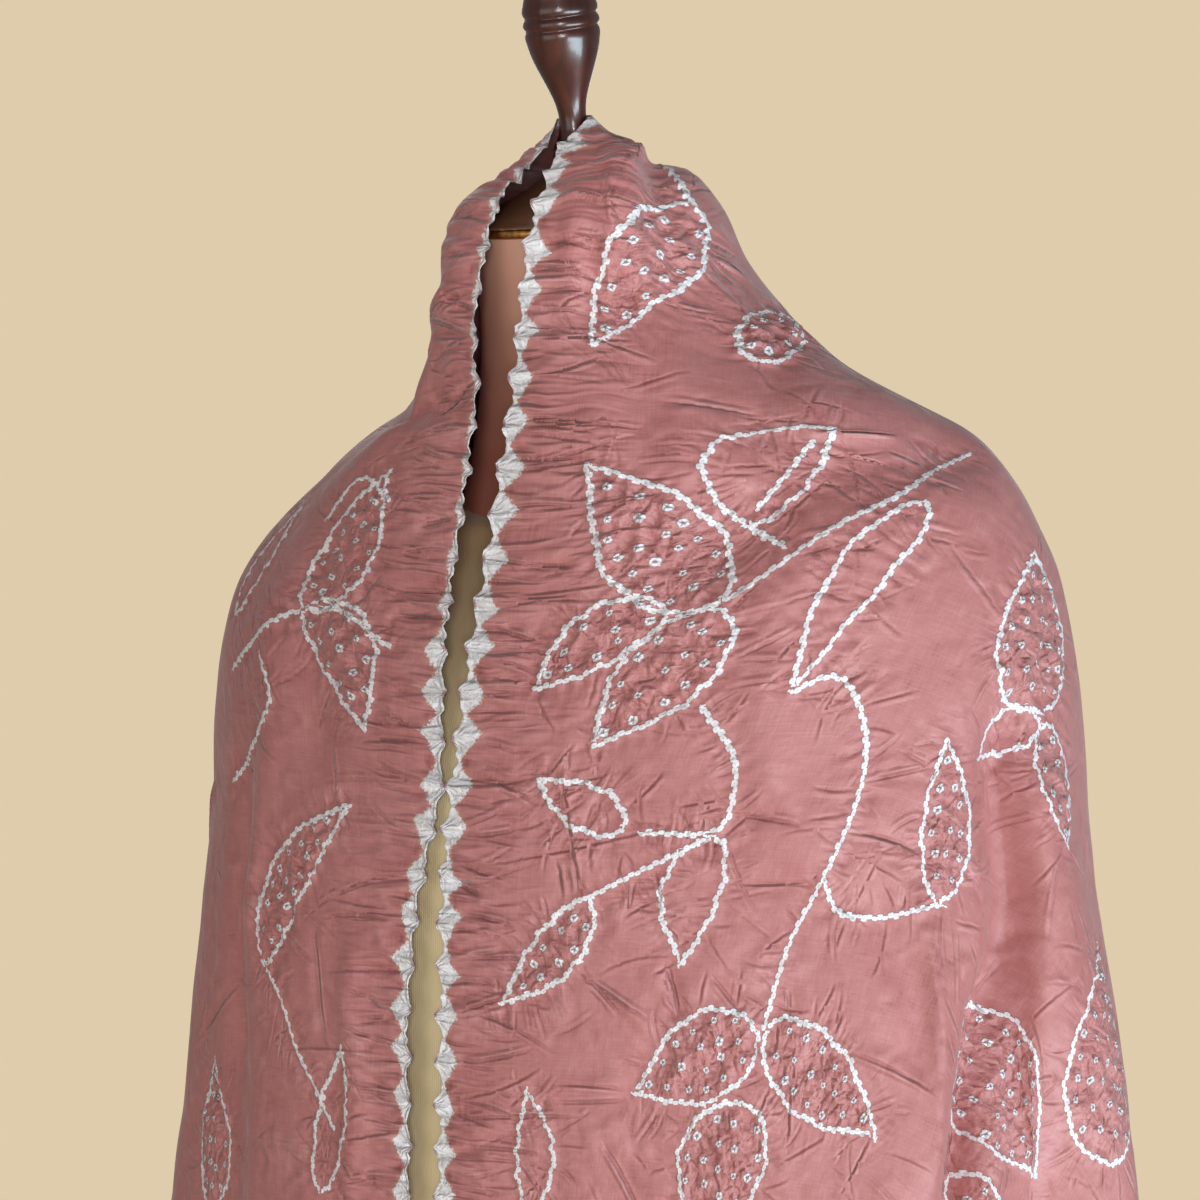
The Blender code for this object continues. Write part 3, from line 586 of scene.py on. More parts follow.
# ---------------------------------------------------------------- the stole: what is tied and how it creases
# Leaves on running stems are tied all over the silk by hand before it is dyed. A bound line of tiny knots
# draws each outline, single knots fill most leaves, and every knot gathers the silk round it into creases.
# Places are millimetres on the flat stole. Half widths are to the left and right, looking from base to tip.
LEAVES = (  # base x, y, tip x, y, left, right, knotted
    (46, 48, 125, 34, 18, 11, 1), (124, 90, 76, 112, 13, 11, 1), (210, 88, 168, 116, 29, 11, 0),
    (243, 90, 180, 34, 24, 12, 1), (246, 73, 277, 30, 8, 18, 1), (246, 92, 302, 60, 21, 14, 1),
    (338, 80, 316, 40, 6, 12, 0), (367, 71, 413, 33, 14, 8, 1), (339, 120, 392, 117, 10, 16, 0),
    (203, 153, 281, 130, 11, 10, 0), (352, 234, 290, 207, 8, 20, 1), (418, 160, 448, 104, 18, 20, 1),
    (414, 164, 450, 236, 14, 18, 1), (446, 160, 508, 150, 24, 22, 1), (258, 252, 200, 214, 32, 22, 1),
    (262, 254, 288, 232, 8, 10, 0), (260, 258, 297, 298, 14, 12, 1), (392, 398, 306, 352, 38, 20, 1),
    (380, 283, 418, 364, 20, 36, 1), (448, 300, 502, 368, 20, 16, 1), (500, 55, 450, 48, 10, 10, 0),
    (-252, 74, -182, 46, 12, 22, 1), (-252, 74, -300, 36, 28, 5, 1), (-262, 140, -205, 120, 8, 10, 0),
    (-409, 105, -334, 45, 14, 12, 1), (-515, 200, -452, 188, 20, 18, 1),
    (-505, 60, -440, 40, 12, 10, 0),
)
STEMS = (
    ((-4, 42), (14, 36), (34, 40), (46, 48)),
    ((166, 174), (182, 158), (204, 140), (226, 112), (242, 92)),
    ((208, 86), (216, 96), (223, 106)),
    ((204, 92), (190, 102), (176, 110)),
    ((286, 98), (312, 120), (333, 122), (339, 88)),
    ((339, 117), (352, 96), (366, 71)),
    ((281, 131), (276, 142), (296, 168), (319, 177), (336, 177), (354, 174), (380, 166), (416, 162)),
    ((354, 174), (366, 186), (366, 206), (352, 237)),
    ((-252, 74), (-250, 48), (-262, 24)),
    ((-252, 74), (-268, 100), (-285, 135)),
    ((-276, 97), (-292, 90), (-310, 106), (-332, 146)),
    ((-409, 104), (-424, 88), (-441, 80), (-460, 64), (-477, 50)),
    ((-196, 39), (-186, 62), (-208, 79)),
)
SPRAYS = (  # stem start x, y, heading in degrees, share of full size, mirrored
    (-40, 150, 70, 0.95, 0), (90, 190, 120, 1.00, 1), (20, 330, 40, 1.00, 0), (-130, 260, 100, 1.05, 1),
    (150, 420, 60, 1.00, 0), (-220, 420, 120, 1.00, 0), (-60, 560, 20, 1.05, 1),
    (300, 520, 30, 1.00, 0), (-400, 330, 80, 1.00, 1), (-380, 560, 150, 1.00, 0),
    (520, 420, 60, 1.05, 1), (620, 180, 20, 1.00, 0), (-620, 330, 200, 1.05, 1),
    (-600, 80, 170, 1.00, 0), (760, 420, 80, 1.00, 1), (840, 120, 40, 1.05, 0),
    (-800, 160, 150, 1.00, 1), (-780, 480, 100, 1.00, 0), (600, 640, -20, 1.00, 1),
    (-560, 640, 200, 1.00, 0), (900, 600, 160, 0.95, 0), (-930, 620, 20, 0.95, 1),
    (180, 640, 170, 1.00, 1), (-160, 660, 10, 0.90, 0),
)
SPRAY_LEAVES = (  # along the stem, turn from it in degrees, length, left, right, knotted
    (0.30, +62, 62, 16, 13, 1), (0.48, -58, 68, 14, 19, 1), (0.70, +48, 56, 13, 15, 1),
    (0.84, -44, 46, 11, 9, 0), (1.00, +6, 60, 16, 17, 1),
)
SPRAY_STEM = 118  # mm
CREASES = (  # from x, y, to x, y, half width, height (a trough is negative)
    (315, 178, 306, 206, 3.0, -1.0), (329, 123, 332, 156, 3.0, -1.1), (335, 179, 333, 216, 3.2, -1.1),
    (357, 136, 357, 168, 3.0, -1.0), (394, 111, 413, 119, 3.2, -1.8), (397, 67, 419, 103, 3.0, +1.5),
    (446, 64, 444, 98, 3.0, +1.2), (454, 64, 452, 98, 3.0, -1.2), (396, 132, 411, 152, 2.6, -1.0),
    (399, 171, 410, 175, 2.6, -1.0), (362, 5, 368, 18, 2.6, -1.8), (376, 11, 377, 38, 2.6, -1.4),
    (394, 11, 392, 31, 2.6, -1.2), (419, 9, 413, 35, 2.6, +1.4), (351, 54, 366, 59, 2.4, -0.9),
    (351, 62, 364, 67, 2.4, -0.9), (397, 70, 413, 92, 2.6, -1.2), (176, 7, 179, 34, 2.8, -1.7),
    (222, 17, 225, 34, 2.4, -1.3), (251, 8, 256, 30, 2.6, -1.5), (272, 12, 276, 34, 2.6, -1.5),
    (256, 91, 258, 108, 2.4, -1.0), (62, 54, 79, 79, 2.6, -1.0), (60, 55, 59, 82, 2.6, -1.0),
    (79, 9, 80, 28, 2.4, -1.4), (90, 7, 91, 30, 2.4, -1.4), (100, 13, 100, 32, 2.4, -1.2),
    (108, 12, 109, 32, 2.4, -1.2), (116, 10, 118, 30, 2.4, -1.2), (-237, 24, -236, 2, 3.0, -2.0),
    (-248, 21, -246, 0, 3.0, -2.0), (-393, 60, -437, 56, 3.0, -1.0), (170, 110, 168, 139, 2.8, +1.3),
    (85, 79, 132, 94, 3.0, +1.0), (-106, 46, -123, 3, 3.2, -1.6), (-146, 35, -152, 1, 3.0, -1.4),
    (312, 49, 367, 68, 2.8, +1.0), (9, 6, 13, 20, 3.4, +1.8), (13, 20, 51, 26, 3.4, +1.6),
    (51, 26, 76, 33, 3.0, +1.2), (150, 60, 158, 92, 3.0, -0.9), (420, 210, 428, 262, 3.6, +1.2),
    (360, 262, 372, 318, 3.4, -1.0), (-330, 180, -352, 236, 3.4, +1.1), (-420, 150, -446, 214, 3.6, -1.1),
    (-180, 96, -214, 150, 3.4, -1.0), (-96, 120, -118, 178, 3.2, +1.0), (470, 90, 498, 118, 3.0, -1.1),
    (67, 60, 82, 80, 2.6, +1.3), (73, 60, 92, 80, 2.6, +1.3), (64, 59, 70, 84, 2.6, +1.1),
    (-102, 24, -110, 1, 3.4, -2.0), (-154, 30, -143, 1, 3.6, -2.2), (-207, 20, -200, 2, 3.0, -1.8),
    (-62, 30, -66, 2, 3.0, -1.4), (-82, 26, -84, 1, 3.0, -1.2), (-128, 34, -122, 2, 3.0, -1.2),
)
SOFT_FOLDS = (  # height (a trough is negative), half widths to the left and right, and the way it runs
    (-12.0, 9, 16, ((250, 222), (288, 246), (332, 286), (394, 299), (450, 298), (540, 290))),
    (-9.0, 13, 17, ((352, 276), (385, 284), (421, 291), (451, 301), (500, 314), (540, 318))),
    (+9.0, 24, 11, ((270, 250), (289, 266), (336, 311), (397, 338), (450, 352))),
    (+3.4, 5, 4, ((350, 228), (363, 235), (433, 270), (480, 284))),
    (-4.0, 10, 9, ((340, 196), (364, 206), (395, 237), (440, 254))),
    (-2.8, 9, 9, ((118, 49), (137, 52), (176, 54), (208, 58))),
    (-4.0, 9, 12, ((90, 66), (109, 74), (163, 86), (200, 94))),
    (-3.6, 8, 9, ((102, 89), (121, 94), (168, 97), (196, 102))),
    (-11.0, 20, 28, ((160, 190), (170, 165), (190, 126), (207, 98), (222, 78), (236, 56))),
    (+7.5, 6, 15, ((2, 6), (12, 18), (37, 23), (60, 28), (76, 33), (100, 38))),
    (-3.0, 10, 6, ((14, 30), (38, 34), (62, 40), (92, 48))),
    (-4.5, 6, 10, ((-146, 2), (-150, 34), (-148, 76), (-140, 110))),
    (+3.5, 9, 6, ((-96, 2), (-100, 30), (-98, 64), (-90, 96))),
    (+3.2, 14, 14, ((250, 120), (295, 128), (330, 150), (360, 190))),
    (-3.0, 12, 10, ((-205, 60), (-231, 70), (-289, 62), (-340, 70))),
    (+3.2, 12, 12, ((-230, 96), (-290, 92), (-350, 108), (-420, 120))),
    (-4.2, 10, 14, ((-300, 134), (-352, 128), (-405, 140), (-470, 150))),
    (+3.0, 10, 8, ((-378, 30), (-419, 36), (-462, 34), (-520, 44))),
)
EDGE_DRAWN = 0.0062, 0.0028  # how far the form's right and left front edges are drawn over
DRAWN_BELOW, DRAWN_ABOVE, DRAWN_WITHIN = 1.455, 1.20, 0.11  # heights, and a share of the way round
LESSER_FOLDS = 26  # a side, between the large folds of the hanging silk
LESSER_DEPTH, LESSER_TOP, LESSER_FULL = 0.0085, 1.10, 0.65  # how deep they get, and where they start and end
CREASED_FROM = 0.35  # below the chest the silk hangs freer, and its small creases are this share as deep
SILK_LIFT, SILK_DEEPEST = 0.0014, -0.0018  # the middle of the small relief, and the lowest that it goes
KNOT_SPACING, KNOT_FROM_LINE = 0.0096, 0.0055  # from one single knot to the next, and to the outline
LINE_CREASES_APART = 0.0055  # along a bound line, counting both sides
LONE_CREASES = 900
MM = 0.001
chance = np.random.default_rng(1867)


def cloud(x, y, size, seed):
    """Smooth random hills and hollows from -1 to 1, about this far apart."""
    lattice = np.random.default_rng(seed).uniform(-1, 1, (512, 512))
    x, y = x / size + 1024, y / size + 1024
    column, row = np.floor(x).astype(int), np.floor(y).astype(int)
    right, up = smooth_step(x - column), smooth_step(y - row)
    column, row = column % 511, row % 511
    low = lattice[column, row] * (1 - right) + lattice[column + 1, row] * right
    high = lattice[column, row + 1] * (1 - right) + lattice[column + 1, row + 1] * right
    return low * (1 - up) + high * up


def leaf_belly(t):
    """A leaf's width, as a share of its fullest, at t from its base to its tip."""
    return np.sin(math.pi * t**0.78).clip(0) ** (0.62 + 0.42 * t)


def leaf_sides(base, tip, left, right, steps=25):
    """The axis of a leaf and its two sides, from base to tip."""
    t = np.linspace(0, 1, steps)
    line = tip - base
    across = np.array([-line[1], line[0]]) / np.linalg.norm(line)
    bend = chance.uniform(-0.07, 0.07) * np.linalg.norm(line)
    axis = base + line * t[:, None] + across * (bend * np.sin(math.pi * t))[:, None]
    belly = leaf_belly(t)
    uneven = 0.8 * MM * np.sin(2 * math.pi * (t * chance.uniform(3, 5) + chance.uniform()))
    halves = ((1, left), (-1, right))
    sides = [axis + across * (sign * belly * half + uneven * belly)[:, None] for sign, half in halves]
    return axis, across, belly, sides


bound_lines, knots, crumpled = [], [], []


def tie_leaf(base, tip, left, right, knotted):
    """Binds a leaf's outline, and where it is knotted fills it with single knots."""
    base, tip = np.array(base), np.array(tip)
    axis, across, belly, sides = leaf_sides(base, tip, left, right)
    bound_lines.extend(sides)
    if not knotted:
        return
    crumpled.append((base, tip, left, right))
    share = np.linspace(0, 1, len(axis))
    for t in np.arange(0.15, 0.93, KNOT_SPACING / np.linalg.norm(tip - base)):
        middle = np.array([np.interp(t, share, axis[:, i]) for i in (0, 1)])
        wide = np.interp(t, share, belly)
        low, high = KNOT_FROM_LINE - right * wide, left * wide - KNOT_FROM_LINE
        if high > low - 0.003:
            count = max(1, round((high - low) / KNOT_SPACING) + 1)
            for offset in np.linspace(low, high, count) if count > 1 else [(low + high) / 2]:
                knots.append(middle + across * offset + chance.uniform(-0.0014, 0.0014, 2))


for base_x, base_y, tip_x, tip_y, left, right, knotted in np.array(LEAVES, float):
    tie_leaf((base_x * MM, base_y * MM), (tip_x * MM, tip_y * MM), left * MM, right * MM, knotted)
for stem in STEMS:
    bound_lines.append(through(np.array(stem) * MM, 8))
for start_x, start_y, heading, size, mirrored in SPRAYS:
    flip = -1 if mirrored else 1
    t = np.linspace(0, 1, 30)
    turned_by = math.radians(heading) + flip * 0.5 * np.sin(2.2 * t)
    step = SPRAY_STEM * MM * size / len(t) * np.stack([np.cos(turned_by), np.sin(turned_by)], axis=1)
    stem = np.array([start_x, start_y]) * MM + np.cumsum(step, axis=0)
    bound_lines.append(stem)
    for at, lean, length, left, right, knotted in SPRAY_LEAVES:
        number = min(int(at * len(t)), len(t) - 1)
        aim = turned_by[number] + flip * math.radians(lean)
        leaf_tip = stem[number] + length * MM * size * np.array([math.cos(aim), math.sin(aim)])
        tie_leaf(stem[number], leaf_tip, left * MM * size, right * MM * size, knotted)
knots = np.array(knots)


def even_steps(line, step=0.0025):
    """A line read at even steps: its points, its directions and the length up to each."""
    reach = np.concatenate([[0], np.linalg.norm(np.diff(line, axis=0), axis=1).cumsum()])
    at = np.linspace(0, reach[-1], max(2, round(reach[-1] / step)) + 1)
    points = np.stack([np.interp(at, reach, line[:, i]) for i in (0, 1)], axis=1)
    ahead = np.gradient(points, axis=0)
    return points, ahead / np.linalg.norm(ahead, axis=1)[:, None], at


def near(points, x, y, reach):
    """The points of the flat stole within reach of the box round these points."""
    low, high = points.min(axis=0) - reach, points.max(axis=0) + reach
    return np.flatnonzero((x > low[0]) & (x < high[0]) & (y > low[1]) & (y < high[1]))


def beside(line, x, y):
    """How far along a line each point is, and how far to its left."""
    points, ahead, at = line
    apart = np.stack([x, y], axis=1)[:, None] - points[None]
    nearest = (apart**2).sum(axis=2).argmin(axis=1)
    apart = apart[np.arange(len(x)), nearest]
    ahead = ahead[nearest]
    along = (apart * ahead).sum(axis=1)
    aside = ahead[:, 0] * apart[:, 1] - ahead[:, 1] * apart[:, 0]
    return at[nearest] + along, aside, np.hypot(along, aside)


def pinches(s, reach_in, count, first, pitch, length, half_width, depth, slant, seed):
    """Creases that run away from a line at its pinched points, unlike in length, slant and depth."""
    own = np.random.default_rng(seed)
    height = np.zeros_like(s)
    place = first + pitch * (np.arange(count) + own.uniform(-0.18, 0.18, count))
    reach, wide = own.uniform(*length, count), own.uniform(*half_width, count)
    deep, lean = own.uniform(*depth, count), own.uniform(-slant, slant, count)
    curl = own.uniform(-3, 3, count)
    number = np.round((s - first) / pitch).astype(int)
    for neighbour in (-1, 0, 1):
        k = np.clip(number + neighbour, 0, count - 1)
        inward = np.clip(reach_in / reach[k], 0, 1)
        middle = place[k] + lean[k] * reach_in + curl[k] * reach_in**2
        across = (s - middle) / (wide[k] * (0.75 + 0.5 * inward))
        fade = (1 - inward) ** 1.5 * (number + neighbour == k)
        trough = np.exp(-(across**2)) - 0.35 * (
            np.exp(-((across - 2.1) ** 2)) + np.exp(-((across + 2.1) ** 2))
        )
        height -= deep[k] * fade * trough
    return height


# The edge runs in a blunt zigzag: off_tip is 0 at the tied tip of each scallop and 1 between two.
SCALLOP_PITCH, SCALLOP_RISE = 0.020, 0.0019
off_tip = np.abs(flat_x / SCALLOP_PITCH - np.round(flat_x / SCALLOP_PITCH)) * 2
scalloped = 1 - 2 * off_tip
x, y = flat_x.ravel(), flat_y.ravel()
relief = np.zeros_like(x)

BORDER_SIDES = {  # scallops, the corner they start from, the way along the edge and the way in from it
    "front": (105, np.array([-STOLE_LENGTH / 2, 0]), np.array([1, 0]), np.array([0, 1])),
    "far": (105, np.array([-STOLE_LENGTH / 2, STOLE_WIDTH]), np.array([1, 0]), np.array([0, -1])),
    "left end": (37, np.array([STOLE_LENGTH / 2, 0]), np.array([0, 1]), np.array([-1, 0])),
    "right end": (37, np.array([-STOLE_LENGTH / 2, 0]), np.array([0, 1]), np.array([1, 0])),
}

# The pulled border: a deep pinch between every two scallops, and two slight ones within each.
from_edges = (
    (x, y, 52, -STOLE_LENGTH / 2), (x, STOLE_WIDTH - y, 52, -STOLE_LENGTH / 2),
    (y, STOLE_LENGTH / 2 - x, 19, 0.0), (y, STOLE_LENGTH / 2 + x, 19, 0.0),
)
for number, (s, inward, half_count, start) in enumerate(from_edges):
    close = np.flatnonzero(inward < 0.062)
    s, inward = s[close], inward[close]
    many = 2 * half_count + 1
    relief[close] += pinches(
        s, inward, many, start + 0.010, SCALLOP_PITCH, (0.024, 0.060), (0.0020, 0.0030), (0.0016, 0.0034),
        0.35, 40 + number,
    )
    relief[close] += pinches(
        s, inward, 2 * many, start + 0.005, SCALLOP_PITCH / 2, (0.014, 0.045), (0.0016, 0.0024),
        (0.0007, 0.0018), 0.45, 50 + number,
    )
    pulled = np.cos(2 * math.pi * s / SCALLOP_PITCH) * np.exp(-inward / 0.015)
    relief[close] += np.where(pulled > 0, 0.0011, 0.0009) * pulled

# The bound lines: a sunk line with the rope of knots standing in it, and creases away on both sides.
groove, rope = np.zeros_like(x), np.zeros_like(x)
lines = [even_steps(line) for line in bound_lines]
for number, line in enumerate(lines):
    close = near(line[0], x, y, 0.018)
    if not len(close):
        continue
    s, aside, apart = beside(line, x[close], y[close])
    groove[close] = np.minimum(groove[close], -0.0010 * np.exp(-((apart / 0.0065) ** 2)))
    rope[close] = np.maximum(rope[close], 0.0011 * np.exp(-((apart / 0.0024) ** 2)))
    many = max(2, round(line[2][-1] / 0.006))
    for sign in (1, -1):
        own_side = sign * aside > 0.001
        relief[close[own_side]] += pinches(
            s[own_side], apart[own_side], many, 0.003, 0.006, (0.007, 0.024), (0.0014, 0.0020),
            (0.0005, 0.0015), 0.5, 100 + 2 * number + (sign > 0),
        )
relief += groove + rope

# The single knots stand up as small points, in silk that stays crumpled inside the leaf.
for knot in knots:
    close = near(knot[None], x, y, 0.008)
    apart = np.hypot(x[close] - knot[0], y[close] - knot[1])
    relief[close] += 0.0009 * np.exp(-((apart / 0.0022) ** 2)) - 0.0003 * np.exp(-((apart / 0.005) ** 2))
for base, tip, left, right in crumpled:
    close = near(np.array([base, tip]), x, y, 0.03)
    line = (tip - base) / np.linalg.norm(tip - base)
    apart = np.stack([x[close], y[close]], axis=1) - base
    t = ((apart @ line) / np.linalg.norm(tip - base)).clip(0, 1)
    aside = line[0] * apart[:, 1] - line[1] * apart[:, 0]
    inside = smooth_step((np.where(aside > 0, left, right) * leaf_belly(t) - np.abs(aside)) / 0.004)
    rough = 1 - 2 * np.abs(cloud(x[close], y[close], 0.0065, 7))
    relief[close] += 0.0019 * inside * (rough - 0.35)

# Longer creases, pressed and pulled in as it was draped.
for from_x, from_y, to_x, to_y, half_width, height in np.array(CREASES, float) * MM:
    start, line = np.array([from_x, from_y]), np.array([to_x - from_x, to_y - from_y])
    length = np.linalg.norm(line)
    close = near(np.array([start, start + line]), x, y, 0.012)
    apart = np.stack([x[close], y[close]], axis=1) - start
    t = (apart @ line) / length**2
    aside = (line[0] * apart[:, 1] - line[1] * apart[:, 0]) / length
    aside = aside + 0.12 * length * (t - t * t) * np.sign(from_x - to_x + 0.5 * MM)
    tapered = np.sin(math.pi * ((t + 0.1) / 1.2).clip(0, 1)) ** 0.6
    relief[close] += 1.3 * height * tapered * np.exp(-((aside / half_width) ** 2))

# Sharp small creases, too thin for the grid: they go into a map that the silk's finish reads. They run in
# from the notches of the border, away from the bound lines, from knot to knot and, here and there, alone.
sharp = []  # points, depth in mm, and the side that its raised lip is on
own = np.random.default_rng(311)


def sharp_crease(start, aim, length, depth, bend=0.25):
    """Adds a crease from a point, in a direction in radians, that curves a little on its way."""
    t = np.linspace(0, 1, 7)
    turn = aim + own.uniform(-bend, bend) * 2 * t
    step = length / 6 * np.stack([np.cos(turn), np.sin(turn)], axis=1)
    points = np.array(start) + np.cumsum(step, axis=0) - step[0]
    sharp.append((points, depth, own.choice((-1, 1))))


for count, corner, along_edge, into in BORDER_SIDES.values():
    for number in range(count):
        for _ in range(own.integers(2, 5)):
            start = corner + along_edge * SCALLOP_PITCH * (number + 0.5 + own.normal(0, 0.16))
            start = start + into * own.uniform(0.003, 0.016)
            aim = math.atan2(into[1], into[0]) + own.normal(0, 0.13)
            sharp_crease(start, aim, own.gamma(3.0, 0.007) + 0.010, own.uniform(0.4, 1.25), 0.26)
for points, ahead, at in lines:
    for _ in range(round(at[-1] / LINE_CREASES_APART)):
        number = own.integers(len(points))
        sign = own.choice((-1, 1))
        aim = math.atan2(ahead[number, 1], ahead[number, 0]) + sign * (math.pi / 2 + own.normal(0, 0.3))
        start = points[number] + 0.0022 * np.array([math.cos(aim), math.sin(aim)])
        sharp_crease(start, aim, own.gamma(2.5, 0.0045) + 0.005, own.uniform(0.25, 0.8), 0.35)
for knot in knots:
    apart = np.hypot(*(knots - knot).T)
    nearby = knots[(apart > 0) & (apart < 1.5 * KNOT_SPACING)]
    for other in nearby[own.random(len(nearby)) < 0.34]:
        line = other - knot
        aim = math.atan2(line[1], line[0]) + own.normal(0, 0.2)
        sharp_crease(knot + 0.16 * line, aim, 0.75 * np.hypot(*line), own.uniform(0.4, 0.9), 0.5)
for from_x, from_y, to_x, to_y, half_width, height in np.array(CREASES, float) * MM:
    line = np.array([to_x - from_x, to_y - from_y])
    aim, depth = math.atan2(line[1], line[0]), 0.4 + 0.7 * abs(height) / MM
    sharp_crease((from_x, from_y), aim, np.hypot(*line), depth, 0.12)
for _ in range(LONE_CREASES):
    start = own.uniform((-STOLE_LENGTH / 2, 0.02), (STOLE_LENGTH / 2, STOLE_WIDTH - 0.02))
    aim = math.pi / 2 + own.normal(0, 0.35)
    sharp_crease(start, aim, own.gamma(3.0, 0.005) + 0.007, own.uniform(0.2, 0.6), 0.3)

# Soft folds, steeper on one side, where the silk turns over the shoulder or starts to hang free.
soft = np.zeros_like(x)
for height, left, right, way_points in SOFT_FOLDS:
    line = even_steps(through(np.array(way_points, float) * MM, 8), 0.004)
    close = near(line[0], x, y, 0.055)
    along, aside, apart = beside(line, x[close], y[close])
    across = np.exp(-((apart / (np.where(aside > 0, left, right) * MM)) ** 2))
    ends = smooth_step(along / 0.035) * smooth_step((line[2][-1] - along) / 0.035)
    soft[close] += height * MM * across * ends

# Below the chest the silk hangs in many lesser folds, unlike in width and depth.
height = silk[..., 2].ravel()
place_there = np.broadcast_to(place, silk.shape[:2]).ravel()
side_there = np.broadcast_to(side, silk.shape[:2]).ravel()
drifting = cloud(place_there, side_there * 2.0 + 0.15 * height, 0.11, 11)
fold_turn = 2 * math.pi * LESSER_FOLDS * place_there + 3.0 * drifting
fold_size = 1 + 0.45 * cloud(place_there, side_there * 2.0 + 0.2 * height, 0.07, 12)
grown = smooth_step((LESSER_TOP - height) / (LESSER_TOP - LESSER_FULL)) * smooth_step(place_there / 0.08)
lesser = LESSER_DEPTH * grown * fold_size * np.sin(fold_turn)

hanging_free = smooth_step((1.12 - height) / 0.12)
relief *= 1 - (1 - CREASED_FROM) * hanging_free
at_loop = smooth_step(np.minimum(reached.ravel() / 0.030, 1))
relief += 0.0010 * cloud(x, y, 0.060, 3) + 0.0005 * cloud(x, y, 0.022, 5)
relief = (np.maximum(relief + SILK_LIFT, SILK_DEEPEST) + soft) * at_loop + lesser
relief = relief.reshape(silk.shape[:2])

# Below the neck both front edges are drawn a little to the form's left, and the scallops swing them out
# and in. Then the creases are raised from the hanging silk.
below_neck = smooth_step((DRAWN_BELOW - silk[..., 2]) / 0.045)
above_waist = smooth_step((silk[..., 2] - DRAWN_ABOVE) / 0.05)
drawn = np.where(side < 0, EDGE_DRAWN[0] * below_neck, EDGE_DRAWN[1] * below_neck * above_waist)
silk[..., 0] += drawn * np.exp(-((place / DRAWN_WITHIN) ** 2))
for edge, inner in ((0, 3), (-1, -4)):
    out = silk[:, edge] - silk[:, inner]
    out /= np.linalg.norm(out, axis=-1, keepdims=True)
    half = slice(0, len(way) // 2) if edge == 0 else slice(len(way) // 2 + 1, None)
    swing = SCALLOP_RISE * scalloped[:, half] * np.exp(-flat_y[:, half] / 0.008)
    silk[:, half] += (swing * at_loop.reshape(silk.shape[:2])[:, half])[..., None] * out[:, None]


def facing(points):
    """The outward direction of the silk at every point."""
    down, round_about = np.gradient(points, axis=0), np.gradient(points, axis=1)
    outward = np.cross(down, round_about)
    return outward / np.maximum(np.linalg.norm(outward, axis=-1, keepdims=True), 1e-12)


silk = silk + relief[..., None] * facing(silk)
outward = facing(silk)

# ---------------------------------------------------------------- the stole: the dyed silk
# Soft, slightly slubbed silk, dyed dusty rose once it is tied. Where thread bound it the silk stays white:
# a rope of small knots along each outline, a ring at each single knot, and a kite with a tan bloom in each
# scallop of the border. Thin creases run away from all of them, with painted shade in their hollows and a
# painted highlight on their ridges; a painted shade also darkens the notches between the scallops.
ROSE, ROSE_DEEP, ROSE_PALE = "#b1706e", "#874644", "#c68c8b"
UNDYED, TAN_BLOOM, BOUND_DARK, BOUND_PINK = "#e0dfe1", "#b98574", "#a4636e", "#c08aa0"
KNOT_PITCH = 0.0027  # along an outline
CREASE_LAYERS = (  # map, apart, length, wander, full within, gone by, height in mm
    ("edge", 0.0078, 0.050, 0.0048, 0.0100, 0.0560, 1.00),
    ("line", 0.0066, 0.026, 0.0024, 0.0030, 0.0190, 0.40),
    ("cloth", 0.0200, 0.030, 0.0080, 9.0, 10.0, 0.50),
)
silk_cloth, tree, shader = new_material(
    "tie_dyed_silk", roughness=0.54, sheen_weight=0.20, sheen_roughness=0.38, specular_ior_level=0.6
)
maps = {name: add(tree, "UVMap", uv_map=name) for name in ("cloth", "line", "knot", "edge", "crease")}
flat = maps["cloth"]
wander = add(tree, "TexNoise", {"Vector": flat, "Scale": 330.0, "Detail": 2.0})
ragged = add(tree, "TexNoise", {"Vector": flat, "Scale": 800.0, "Detail": 2.0})

# The rope of knots: squarish, side by side, each set a little to one side of the line.
shaken = add(tree, "VectorMath", {0: wander.outputs["Color"], 1: (0.5, 0.5, 0.5)}, operation="SUBTRACT")
shaken = add(tree, "VectorMath", {0: shaken, "Scale": 0.0010}, operation="SCALE")
shaken = add(tree, "VectorMath", {0: maps["line"], 1: shaken}, operation="ADD")
at = add(tree, "SeparateXYZ", {"Vector": shaken})
knot_number = add(tree, "Math", {0: at.outputs["X"], 1: KNOT_PITCH}, operation="DIVIDE")
whole = add(tree, "Math", {0: knot_number}, operation="FLOOR")
within = add(tree, "Math", {0: knot_number}, operation="FRACT")
odd = add(tree, "Math", {0: whole, 1: 2.0}, operation="MODULO")
own = add(tree, "TexWhiteNoise", {"W": whole}, noise_dimensions="1D")
beside_line = add(tree, "Math", {0: odd, 1: 0.0007, 2: at.outputs["Y"]}, operation="MULTIPLY_ADD")
beside_line = add(tree, "Math", {0: beside_line, 1: 0.0004}, operation="SUBTRACT")
beside_line = add(tree, "Math", {0: beside_line}, operation="ABSOLUTE")
knot_reach = add(tree, "MapRange", {"Value": own, "To Min": 0.0009, "To Max": 0.0014})
over = add(tree, "Math", {0: beside_line, 1: knot_reach}, operation="DIVIDE")
over = add(tree, "Math", {0: over, 1: 2.6}, operation="POWER")
within = add(tree, "Math", {0: within, 1: 0.5}, operation="SUBTRACT")
within = add(tree, "Math", {0: within}, operation="ABSOLUTE")
within = add(tree, "Math", {0: within, 1: 1.72}, operation="MULTIPLY")
within = add(tree, "Math", {0: within, 1: 2.6}, operation="POWER")
from_knot = add(tree, "Math", {0: over, 1: within}, operation="ADD")
from_knot = add(tree, "Math", {0: from_knot, 1: 0.385}, operation="POWER")
rope_white = add(
    tree, "MapRange", {"Value": from_knot, "From Min": 1.18, "From Max": 0.94},
    interpolation_type="SMOOTHSTEP",
)
